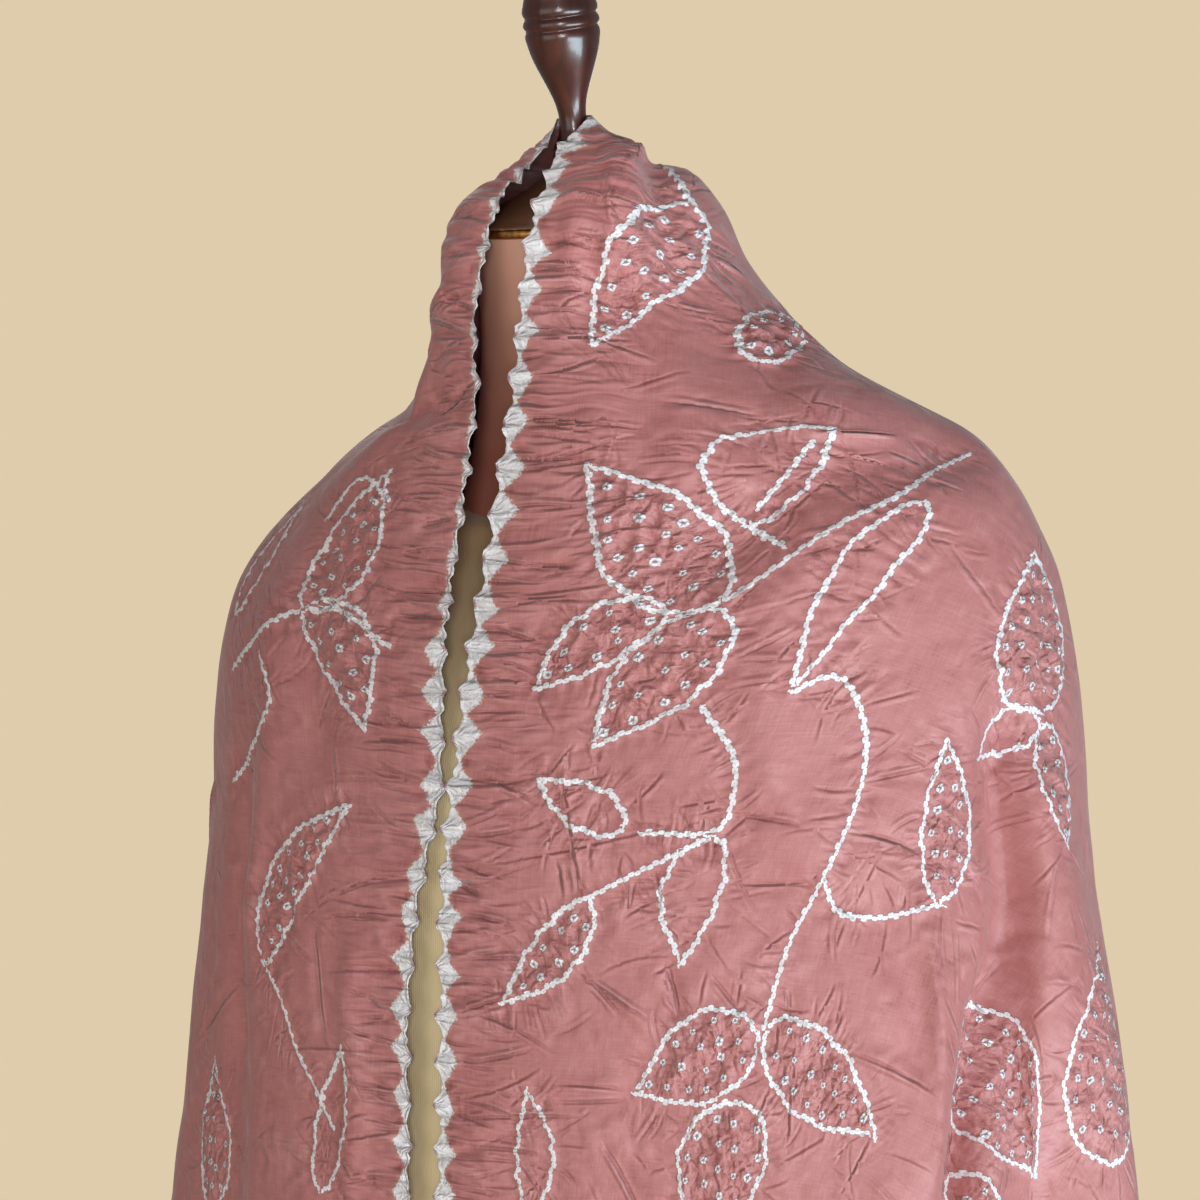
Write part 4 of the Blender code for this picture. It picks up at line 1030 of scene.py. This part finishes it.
rope_eye = add(
    tree, "MapRange", {"Value": from_knot, "From Min": 0.30, "From Max": 0.12, "To Max": 0.55},
    interpolation_type="SMOOTHSTEP",
)

# The single knots: a lozenge of white with a dark eye, and creases in a star round it.
spread = add(tree, "VectorMath", {0: maps["knot"]}, operation="ABSOLUTE")
spread = add(tree, "SeparateXYZ", {"Vector": spread})
across = add(tree, "Math", {0: spread.outputs["X"], 1: 1.35}, operation="POWER")
upward = add(tree, "Math", {0: spread.outputs["Y"], 1: 1.35}, operation="POWER")
from_single = add(tree, "Math", {0: across, 1: upward}, operation="ADD")
from_single = add(tree, "Math", {0: from_single, 1: 0.74}, operation="POWER")
uneven = add(tree, "MapRange", {"Value": ragged, "To Min": -0.35, "To Max": 0.35})
from_single = add(tree, "Math", {0: from_single, 1: uneven}, operation="ADD")
ring_white = add(
    tree, "MapRange", {"Value": from_single, "From Min": 1.12, "From Max": 0.82},
    interpolation_type="SMOOTHSTEP",
)
ring_eye = add(
    tree, "MapRange", {"Value": from_single, "From Min": 0.50, "From Max": 0.25},
    interpolation_type="SMOOTHSTEP",
)
star_at = add(tree, "SeparateXYZ", {"Vector": maps["knot"]})
star = add(tree, "Math", {0: star_at.outputs["Y"], 1: star_at.outputs["X"]}, operation="ARCTAN2")
star = add(tree, "Math", {0: star, 1: 4.0}, operation="MULTIPLY")
star = add(tree, "Math", {0: star}, operation="SINE")
tied_close = add(tree, "MapRange", {"Value": from_single, "From Min": 4.6, "From Max": 1.6})
star = add(tree, "Math", {0: star, 1: tied_close}, operation="MULTIPLY")

# The scallops: a white kite, with pleats from the tie at its outer tip, a tan bloom and a rolled hem.
edge_at = add(tree, "SeparateXYZ", {"Vector": maps["edge"]})
kite = add(tree, "Math", {0: edge_at.outputs["X"], 1: SCALLOP_PITCH}, operation="DIVIDE")
kite_number = add(tree, "Math", {0: kite, 1: 0.5}, operation="ADD")
kite_number = add(tree, "Math", {0: kite_number}, operation="FLOOR")
kite = add(tree, "Math", {0: kite, 1: kite_number}, operation="SUBTRACT")
from_tip = add(tree, "Math", {0: kite, 1: 2.0}, operation="MULTIPLY")
own_kite = add(tree, "TexWhiteNoise", {"W": kite_number}, noise_dimensions="1D")
leant = add(tree, "MapRange", {"Value": own_kite, "To Min": -30.0, "To Max": 30.0})
leant = add(tree, "Math", {0: leant, 1: edge_at.outputs["Y"], 2: from_tip}, operation="MULTIPLY_ADD")
leant = add(tree, "Math", {0: leant}, operation="ABSOLUTE")
kite_width = add(tree, "MapRange", {"Value": own_kite.outputs["Color"], "To Min": 0.0074, "To Max": 0.0102})
rounded = add(tree, "Math", {0: leant, 1: 1.05}, operation="POWER")
kite_depth = add(tree, "Math", {0: 1.0, 1: rounded}, operation="SUBTRACT", use_clamp=True)
kite_depth = add(tree, "Math", {0: kite_depth, 1: kite_width, 2: 0.0019}, operation="MULTIPLY_ADD")
at_neck = add(tree, "Math", {0: edge_at.outputs["X"], 1: 0.125}, operation="ADD")
at_neck = add(tree, "Math", {0: at_neck}, operation="ABSOLUTE")
at_neck = add(tree, "MapRange", {"Value": at_neck, "From Min": 0.110, "From Max": 0.150, "To Min": 0.42})
kite_depth = add(tree, "Math", {0: kite_depth, 1: at_neck}, operation="MULTIPLY")
frayed = add(
    tree, "MapRange",
    {"Value": ragged, "From Min": 0.3, "From Max": 0.7, "To Min": -0.0010, "To Max": 0.0010},
)
inside_kite = add(tree, "Math", {0: kite_depth, 1: edge_at.outputs["Y"]}, operation="SUBTRACT")
inside_kite = add(tree, "Math", {0: inside_kite, 1: frayed}, operation="ADD")
kite_white = add(
    tree, "MapRange", {"Value": inside_kite, "From Min": -0.0006, "From Max": 0.0010},
    interpolation_type="SMOOTHSTEP",
)
bloom_reach = add(
    tree, "MapRange",
    {"Value": wander, "From Min": 0.35, "From Max": 0.65, "To Min": -0.0010, "To Max": -0.0042},
)
bloom = add(
    tree, "MapRange",
    {"Value": inside_kite, "From Min": bloom_reach, "From Max": -0.0002, "To Max": 0.45},
)
tip_along = add(tree, "Math", {0: from_tip, 1: SCALLOP_PITCH / 2}, operation="MULTIPLY")
tip_inward = add(tree, "Math", {0: edge_at.outputs["Y"], 1: 0.0004}, operation="ADD")
pleat_turn = add(tree, "Math", {0: tip_along, 1: tip_inward}, operation="ARCTAN2")
tie_along = add(tree, "Math", {0: tip_along, 1: tip_along}, operation="MULTIPLY")
tie_inward = add(tree, "Math", {0: tip_inward, 1: tip_inward}, operation="MULTIPLY")
from_tie = add(tree, "Math", {0: tie_along, 1: tie_inward}, operation="ADD")
from_tie = add(tree, "Math", {0: from_tie, 1: 0.5}, operation="POWER")
pleats = add(tree, "Math", {0: wander, 1: 9.0}, operation="MULTIPLY")
pleats = add(tree, "Math", {0: pleat_turn, 1: 11.0, 2: pleats}, operation="MULTIPLY_ADD")
pleats = add(tree, "Math", {0: pleats}, operation="SINE")
pleats = add(tree, "Math", {0: pleats, 1: kite_white}, operation="MULTIPLY")
tie = add(
    tree, "MapRange", {"Value": from_tie, "From Min": 0.0022, "From Max": 0.0010},
    interpolation_type="SMOOTHSTEP",
)
# Painted shade in the fold at each notch between two scallops, a few millimetres in from the edge.
notch_along = add(tree, "Math", {0: from_tip}, operation="ABSOLUTE")
notch_along = add(tree, "Math", {0: 1.0, 1: notch_along}, operation="SUBTRACT")
notch_along = add(tree, "Math", {0: notch_along, 1: 3.0}, operation="MULTIPLY")
notch_inward = add(tree, "Math", {0: edge_at.outputs["Y"], 1: 0.0052}, operation="SUBTRACT")
notch_inward = add(tree, "Math", {0: notch_inward, 1: 330.0}, operation="MULTIPLY")
notch_along = add(tree, "Math", {0: notch_along, 1: notch_along}, operation="MULTIPLY")
notch_shade = add(tree, "Math", {0: notch_inward, 1: notch_inward, 2: notch_along}, operation="MULTIPLY_ADD")
notch_shade = add(tree, "MapRange", {"Value": notch_shade, "From Min": 1.0, "From Max": 0.1, "To Max": 0.9})
rolled = add(
    tree, "MapRange", {"Value": edge_at.outputs["Y"], "From Min": 0.0016, "From Max": 0.0008},
    interpolation_type="SMOOTHSTEP",
)

# Thin creases, as sharp ridges and hollows that run across the edges and lines and die away from them.
# Their ridges also get a painted highlight and their hollows a painted shade.
patchy = add(tree, "TexNoise", {"Vector": flat, "Scale": 42.0, "Detail": 1.0})
patchy = add(tree, "MapRange", {"Value": patchy, "From Min": 0.42, "From Max": 0.62})
ridge_highlight, hollow_shade, crease_height = 0.0, 0.0, 0.0
for map_name, apart, length, stray, near_by, gone, height in CREASE_LAYERS:
    strayed = add(tree, "TexNoise", {"Vector": flat, "Scale": 0.4 / apart, "Detail": 1.0})
    strayed = add(tree, "VectorMath", {0: strayed.outputs["Color"], "Scale": stray}, operation="SCALE")
    strayed = add(tree, "VectorMath", {0: strayed, 1: maps[map_name]}, operation="ADD")
    fade = add(tree, "SeparateXYZ", {"Vector": maps[map_name]})
    fade = add(tree, "Math", {0: fade.outputs["Y"]}, operation="ABSOLUTE")
    fade = add(tree, "MapRange", {"Value": fade, "From Min": gone, "From Max": near_by})
    if map_name != "edge":
        fade = add(tree, "Math", {0: fade, 1: patchy}, operation="MULTIPLY")
    for sign in (1, -1):
        folded_along = add(
            tree, "Mapping",
            {"Vector": strayed, "Location": (7.3 * sign, 3.1, 0), "Scale": (1 / apart, 1 / length, 1)},
        )
        folded_along = add(tree, "TexNoise", {"Vector": folded_along, "Scale": 1.0, "Detail": 1.0})
        folded_along = add(tree, "Math", {0: folded_along, 1: 0.5}, operation="SUBTRACT")
        folded_along = add(tree, "Math", {0: folded_along}, operation="ABSOLUTE")
        folded_along = add(
            tree, "MapRange", {"Value": folded_along, "From Min": 0.14, "From Max": 0.0},
            interpolation_type="SMOOTHSTEP",
        )
        folded_along = add(tree, "Math", {0: folded_along, 1: fade}, operation="MULTIPLY")
        crease_height = add(
            tree, "Math", {0: folded_along, 1: sign * height, 2: crease_height}, operation="MULTIPLY_ADD"
        )
        weight = min(1.0, height / 0.5)
        if sign > 0:
            ridge_highlight = add(tree, "Math", {0: folded_along, 1: weight, 2: ridge_highlight}, operation="MULTIPLY_ADD")
        else:
            hollow_shade = add(tree, "Math", {0: folded_along, 1: weight, 2: hollow_shade}, operation="MULTIPLY_ADD")

# The sharp creases: a thin hollow with a raised lip on one side, with a painted shade in the hollow and a
# painted highlight on the lip.
crease_at = add(tree, "SeparateXYZ", {"Vector": maps["crease"]})
hollow = add(tree, "Math", {0: crease_at.outputs["Y"]}, operation="ABSOLUTE")
hollow = add(
    tree, "MapRange", {"Value": hollow, "From Min": 1.5, "From Max": 0.0}, interpolation_type="SMOOTHSTEP"
)
lip = add(tree, "Math", {0: crease_at.outputs["Y"], 1: 1.7}, operation="SUBTRACT")
lip = add(tree, "Math", {0: lip}, operation="ABSOLUTE")
lip = add(
    tree, "MapRange", {"Value": lip, "From Min": 2.0, "From Max": 0.0}, interpolation_type="SMOOTHSTEP"
)
hollow = add(tree, "Math", {0: hollow, 1: crease_at.outputs["X"]}, operation="MULTIPLY")
lip = add(tree, "Math", {0: lip, 1: crease_at.outputs["X"]}, operation="MULTIPLY")
crease_height = add(tree, "Math", {0: hollow, 1: -0.70, 2: crease_height}, operation="MULTIPLY_ADD")
crease_height = add(tree, "Math", {0: lip, 1: 0.85, 2: crease_height}, operation="MULTIPLY_ADD")
hollow_shade = add(tree, "Math", {0: hollow, 1: 1.3, 2: hollow_shade}, operation="MULTIPLY_ADD")
ridge_highlight = add(tree, "Math", {0: lip, 1: 0.8, 2: ridge_highlight}, operation="MULTIPLY_ADD")
crumple = add(tree, "TexNoise", {"Vector": flat, "Scale": 190.0, "Detail": 3.0, "Roughness": 0.6})
knotted_crumple = add(tree, "Math", {0: tied_close, 1: 1.9, 2: 0.32}, operation="MULTIPLY_ADD")
crumple = add(tree, "Math", {0: crumple, 1: knotted_crumple}, operation="MULTIPLY")

# The dye and the threads, with the painted highlight on crease ridges and painted shade in crease hollows
# and notches.
drift = add(tree, "TexNoise", {"Vector": flat, "Scale": 14.0, "Detail": 3.0, "Roughness": 0.6})
mottle = add(tree, "TexNoise", {"Vector": flat, "Scale": 150.0, "Detail": 4.0, "Roughness": 0.7})
long_way = add(tree, "Mapping", {"Vector": flat, "Scale": (60, 1500, 1)})
cross_way = add(tree, "Mapping", {"Vector": flat, "Scale": (1300, 70, 1)})
weft = add(tree, "TexNoise", {"Vector": long_way, "Scale": 1.0, "Detail": 2.0})
warp = add(tree, "TexNoise", {"Vector": cross_way, "Scale": 1.0, "Detail": 2.0})
threads = add(tree, "Math", {0: weft, 1: warp}, operation="ADD")
streaks = add(tree, "MapRange", {"Value": threads, "From Min": 0.75, "From Max": 1.25})
dye_and_painted_light = add(tree, "Math", {0: drift, 1: mottle}, operation="ADD")
dye_and_painted_light = add(tree, "Math", {0: streaks, 1: 0.40, 2: dye_and_painted_light}, operation="MULTIPLY_ADD")
# Painted shade in the notches between the scallops.
dye_and_painted_light = add(tree, "Math", {0: notch_shade, 1: -0.35, 2: dye_and_painted_light}, operation="MULTIPLY_ADD")
# Painted highlight on the crease ridges and painted shade in the crease hollows.
dye_and_painted_light = add(tree, "Math", {0: ridge_highlight, 1: 0.24, 2: dye_and_painted_light}, operation="MULTIPLY_ADD")
dye_and_painted_light = add(tree, "Math", {0: hollow_shade, 1: -0.21, 2: dye_and_painted_light}, operation="MULTIPLY_ADD")
paler = add(tree, "MapRange", {"Value": dye_and_painted_light, "From Min": 1.15, "From Max": 2.05})
deeper = add(tree, "MapRange", {"Value": dye_and_painted_light, "From Min": 1.03, "From Max": 0.42})
colour = add(tree, "Mix", {0: paler, 6: linear(ROSE), 7: linear(ROSE_PALE)}, data_type="RGBA").outputs[2]
colour = add(tree, "Mix", {0: deeper, 6: colour, 7: linear(ROSE_DEEP)}, data_type="RGBA").outputs[2]
colour = add(tree, "Mix", {0: bloom, 6: colour, 7: linear(TAN_BLOOM)}, data_type="RGBA").outputs[2]
white = add(tree, "Math", {0: rope_white, 1: ring_white}, operation="MAXIMUM")
white = add(tree, "Math", {0: white, 1: kite_white}, operation="MAXIMUM")
colour = add(tree, "Mix", {0: white, 6: colour, 7: linear(UNDYED)}, data_type="RGBA").outputs[2]
tinted = add(tree, "TexNoise", {"Vector": flat, "Scale": 60.0, "Detail": 2.0})
tinted = add(tree, "MapRange", {"Value": tinted, "From Min": 0.56, "From Max": 0.70, "To Max": 0.75})
between = add(tree, "MapRange", {"Value": from_knot, "From Min": 0.55, "From Max": 1.05})
tinted = add(tree, "Math", {0: tinted, 1: between}, operation="MULTIPLY")
tinted = add(tree, "Math", {0: tinted, 1: rope_white}, operation="MULTIPLY")
colour = add(tree, "Mix", {0: tinted, 6: colour, 7: linear(BOUND_PINK)}, data_type="RGBA").outputs[2]
stained = add(tree, "Math", {0: rope_eye, 1: ring_eye}, operation="MAXIMUM")
stained = add(tree, "Math", {0: stained, 1: tie}, operation="MAXIMUM")
stained = add(tree, "Math", {0: stained, 1: 0.70}, operation="MULTIPLY")
colour = add(tree, "Mix", {0: stained, 6: colour, 7: linear(BOUND_DARK)}, data_type="RGBA").outputs[2]

# Height in millimetres: knots, pleats, creases, hem and threads.
points = add(tree, "Math", {0: rope_white, 1: 0.55, 2: crease_height}, operation="MULTIPLY_ADD")
points = add(tree, "Math", {0: ring_white, 1: 0.60, 2: points}, operation="MULTIPLY_ADD")
points = add(tree, "Math", {0: star, 1: 0.30, 2: points}, operation="MULTIPLY_ADD")
points = add(tree, "Math", {0: pleats, 1: 0.22, 2: points}, operation="MULTIPLY_ADD")
points = add(tree, "Math", {0: rolled, 1: 0.50, 2: points}, operation="MULTIPLY_ADD")
points = add(tree, "Math", {0: crumple, 1: 1.0, 2: points}, operation="MULTIPLY_ADD")
points = add(tree, "Math", {0: threads, 1: 0.045, 2: points}, operation="MULTIPLY_ADD")
bump = add(tree, "Bump", {"Height": points, "Strength": 1.0, "Distance": MM})
finish(tree, shader, colour, bump)

# ---------------------------------------------------------------- the stole: its four stretches
# The neck stretch, the two front falls and the back are cut from the one grid, so that colour, creases and
# shading run on from one to the next.
SILK_THICK = 0.0005
OUTLINE_REACH, KNOT_REACH, KNOT_SIZE = 0.014, 0.006, 0.0019
CREASE_REACH = 0.0050


def outline_map(corner_x, corner_y):
    """At every face corner, how far along the nearest bound line it is and how far to its left."""
    middle_x, middle_y = corner_x.mean(axis=1), corner_y.mean(axis=1)
    best = np.full(len(middle_x), OUTLINE_REACH)
    found = np.stack([np.zeros_like(corner_x), np.ones_like(corner_x)], axis=2)
    start = 0.0
    for points, ahead, at in lines:
        close = near(points, middle_x, middle_y, OUTLINE_REACH)
        if len(close):
            apart = np.stack([middle_x[close], middle_y[close]], axis=1)[:, None] - points[None]
            distance = np.linalg.norm(apart, axis=2)
            nearest = distance.argmin(axis=1)
            distance = distance[np.arange(len(close)), nearest]
            closer = distance < best[close]
            close, nearest = close[closer], nearest[closer]
            best[close] = distance[closer]
            apart_x = corner_x[close] - points[nearest, 0][:, None]
            apart_y = corner_y[close] - points[nearest, 1][:, None]
            ahead_x, ahead_y = ahead[nearest, 0][:, None], ahead[nearest, 1][:, None]
            along = at[nearest][:, None] + apart_x * ahead_x + apart_y * ahead_y
            aside = ahead_x * apart_y - ahead_y * apart_x
            beyond = np.maximum(-along, 0) + np.maximum(along - at[-1], 0)
            past_the_end = (beyond > 0).all(axis=1)[:, None]
            found[close, :, 0] = start + along
            found[close, :, 1] = np.where((aside < 0) & ~past_the_end, -1, 1) * np.hypot(aside, beyond)
        start += math.ceil(at[-1] / KNOT_PITCH + 6) * KNOT_PITCH
    return found


def crease_map(corner_x, corner_y):
    """At every face corner, how deep the nearest sharp crease is and how far to its lip's side, in mm."""
    middle_x, middle_y = corner_x.mean(axis=1), corner_y.mean(axis=1)
    best = np.full(len(middle_x), CREASE_REACH)
    found = np.zeros(corner_x.shape + (2,))
    order = np.argsort(middle_x)
    for points, depth, lip in sharp:
        low, high = points.min(axis=0) - CREASE_REACH, points.max(axis=0) + CREASE_REACH
        some = order[slice(*np.searchsorted(middle_x, (low[0], high[0]), sorter=order))]
        close = some[(middle_y[some] > low[1]) & (middle_y[some] < high[1])]
        if not len(close):
            continue
        line = even_steps(points, 0.0012)
        distance = beside(line, middle_x[close], middle_y[close])[2]
        closer = distance < best[close]
        close = close[closer]
        if not len(close):
            continue
        best[close] = distance[closer]
        along, aside, apart = beside(line, corner_x[close].ravel(), corner_y[close].ravel())
        tapered = np.sin(math.pi * (along / line[2][-1]).clip(0, 1)) ** 0.7
        found[close, :, 0] = (depth * tapered).reshape(-1, 4)
        found[close, :, 1] = (lip * np.where(aside < 0, -1, 1) * apart).reshape(-1, 4) / MM
    return found


def knot_map(corner_x, corner_y):
    """At every face corner, the offset from the nearest single knot, as shares of that knot's size."""
    middle_x, middle_y = corner_x.mean(axis=1), corner_y.mean(axis=1)
    best = np.full(len(middle_x), KNOT_REACH)
    found = np.full(corner_x.shape + (2,), 9.0)
    own = np.random.default_rng(77)
    for (x, y), size, lean in zip(knots, own.uniform(0.8, 1.2, len(knots)), own.uniform(0, 1.5, len(knots))):
        close = near(np.array([[x, y]]), middle_x, middle_y, KNOT_REACH)
        distance = np.hypot(middle_x[close] - x, middle_y[close] - y)
        closer = distance < best[close]
        close = close[closer]
        best[close] = distance[closer]
        apart_x, apart_y = corner_x[close] - x, corner_y[close] - y
        found[close, :, 0] = (apart_x * math.cos(lean) + apart_y * math.sin(lean)) / (KNOT_SIZE * size)
        found[close, :, 1] = (apart_y * math.cos(lean) - apart_x * math.sin(lean)) / (KNOT_SIZE * size)
    return found


def edge_map(corner_x, corner_y):
    """At every face corner, how far along the nearest edge of the stole it is and how far in from it."""
    end = STOLE_LENGTH / 2
    inward = np.stack([corner_y, STOLE_WIDTH - corner_y, end - corner_x, end + corner_x], axis=-1)
    nearest = inward.mean(axis=1).argmin(axis=1)[:, None]
    along = np.where(nearest < 2, corner_x, corner_y)
    return np.stack([along, np.take_along_axis(inward, nearest[..., None], axis=2)[..., 0]], axis=-1)


def stretch(node, rows, columns, step=1):
    """One stretch of the stole, from the grid's rows and columns, as a closed shell of silk."""
    own = (slice(rows[0], rows[1] + 1, step), slice(columns[0], columns[1] + 1))
    points, normals, own_x, own_y = silk[own], outward[own], flat_x[own], flat_y[own]
    tall, broad = points.shape[0] - 1, points.shape[1] - 1
    bm = bmesh.new()
    bmesh.ops.create_grid(bm, x_segments=tall, y_segments=broad, size=0.5)
    bmesh.ops.solidify(bm, geom=list(bm.faces), thickness=0.1)
    mesh = bpy.data.meshes.new("silk_" + node)
    bm.to_mesh(mesh)
    bm.free()
    place = np.empty(len(mesh.vertices) * 3, np.float32)
    mesh.vertices.foreach_get("co", place)
    place = place.reshape(-1, 3)
    row = np.round((place[:, 0] + 0.5) * tall).astype(int)
    column = np.round((place[:, 1] + 0.5) * broad).astype(int)
    outer = place[:, 2] > (place[:, 2].min() + place[:, 2].max()) / 2
    normal = normals[row, column]
    laid = points[row, column] - normal * (SILK_THICK * ~outer)[:, None]
    mesh.vertices.foreach_set("co", laid.astype(np.float32).ravel())
    corner = np.empty(len(mesh.loops), np.int32)
    mesh.loops.foreach_get("vertex_index", corner)
    corner = corner.reshape(-1, 4)
    corner_x, corner_y = own_x[row, column][corner], own_y[row, column][corner]
    maps = {
        "cloth": np.stack([corner_x, corner_y], axis=-1),
        "line": outline_map(corner_x, corner_y),
        "knot": knot_map(corner_x, corner_y),
        "edge": edge_map(corner_x, corner_y),
        "crease": crease_map(corner_x, corner_y),
    }
    for name, values in maps.items():
        mesh.uv_layers.new(name=name).uv.foreach_set("vector", values.astype(np.float32).ravel())
    mesh.shade_smooth()
    mesh.update()
    mesh.normals_split_custom_set_from_vertices(np.where(outer[:, None], normal, -normal))
    mesh.materials.append(silk_cloth)
    piece = as_piece("silk_" + node, mesh, "silk", node)
    forward, backward = slice(None), slice(None, None, -1)
    wide, tall = np.ptp(own_x), np.ptp(own_y)


low, last = NECK_ROWS, silk.shape[0] - 1
right_seam = len(way) - 1 - FRONT_COLUMNS
for seam in (FRONT_COLUMNS, right_seam):  # the back has every second row, so the fronts' seams follow it
    above, below = silk[low : last - 1 : 2, seam], silk[low + 2 : last + 1 : 2, seam]
    silk[low + 1 : last : 2, seam] = (above + below) / 2
stretch("stole_neck", (0, low), (0, len(way) - 1))
stretch("stole_left_front", (low, last), (0, FRONT_COLUMNS))
stretch("stole_back", (low, last), (FRONT_COLUMNS, right_seam), step=2)
stretch("stole_right_front", (low, last), (right_seam, len(way) - 1))

# ---------------------------------------------------------------- the studio
# A pale floor, a warm cream surround that fills the shadows, and soft lights: a broad low one from the
# form's left, two from the front, and two weak ones from behind to show the edges.
SURROUND, FLOOR = "#dfccac", "#d8cbb4"
FLOOR_SIZE = 8.0
floor_mesh = bmesh.new()
bmesh.ops.create_grid(floor_mesh, x_segments=1, y_segments=1, size=FLOOR_SIZE / 2)
mesh = bpy.data.meshes.new("floor")
floor_mesh.to_mesh(mesh)
floor_mesh.free()
floor_paint, tree, shader = new_material("floor_paint", roughness=0.85)
where = add(tree, "TexCoord").outputs["Object"]
cast = add(tree, "TexNoise", {"Vector": where, "Scale": 1.5, "Detail": 3.0})
colour = add(tree, "Mix", {0: cast, 6: linear(FLOOR), 7: linear(SURROUND)}, data_type="RGBA")
tree.links.new(colour.outputs[2], shader.inputs["Base Color"])
mesh.materials.append(floor_paint)
placed("floor", mesh)

# The surround is seen at full strength and lights the scene at less, as a backdrop does.
surround = bpy.data.worlds.new("surround")
surround.use_nodes = True
tree = surround.node_tree
seen = add(tree, "LightPath").outputs["Is Camera Ray"]
glow = add(tree, "Mix", {0: seen, 6: (0.215, 0.21, 0.205, 1), 7: linear(SURROUND)}, data_type="RGBA")
tree.links.new(glow.outputs[2], tree.nodes["Background"].inputs["Color"])
bpy.context.scene.world = surround
bpy.context.scene.view_settings.view_transform = "Standard"
LIGHTS = {  # turn from the front in degrees, height, distance, width, tallness, watts, colour
    "key_light": (78, 0.35, 2.4, 2.2, 0.7, 50.0, (1.0, 1.20, 1.35)),
    "fill_light": (-8, 1.15, 3.0, 2.0, 1.6, 14.0, (1.0, 0.93, 0.87)),
    "near_light": (33, 1.25, 2.9, 0.7, 0.7, 27.0, (1.0, 0.96, 0.94)),
    "edge_light": (-140, 2.30, 2.2, 1.0, 1.0, 5.0, (1.0, 0.97, 0.92)),
    "back_light": (212, 1.00, 3.0, 1.6, 1.6, 16.0, (1.0, 0.98, 0.95)),
}


def shine(lamp, at, towards):
    """Puts a lamp at a point, turned to what it lights."""
    light = placed(lamp.name, lamp)
    light.location = at
    light.rotation_euler = (towards - light.location).to_track_quat("-Z", "Y").to_euler()


for name, (turn_by, height, distance, width, tallness, watts, colour) in LIGHTS.items():
    lamp = bpy.data.lights.new(name, "AREA")
    lamp.shape, lamp.size, lamp.size_y = "RECTANGLE", width, tallness
    lamp.energy, lamp.color = watts, colour
    turn_by = math.radians(turn_by)
    shine(lamp, (distance * math.sin(turn_by), -distance * math.cos(turn_by), height), LOOK_AT)

# A narrow beam reaches into the collar and lights the cap, as light that falls between the two edges does.
beam = bpy.data.lights.new("collar_light", "SPOT")
beam.energy, beam.spot_size, beam.spot_blend, beam.shadow_soft_size = 14.0, math.radians(7.5), 0.9, 0.06
shine(beam, (0.62, -1.10, 1.72), RIM_CENTRE)
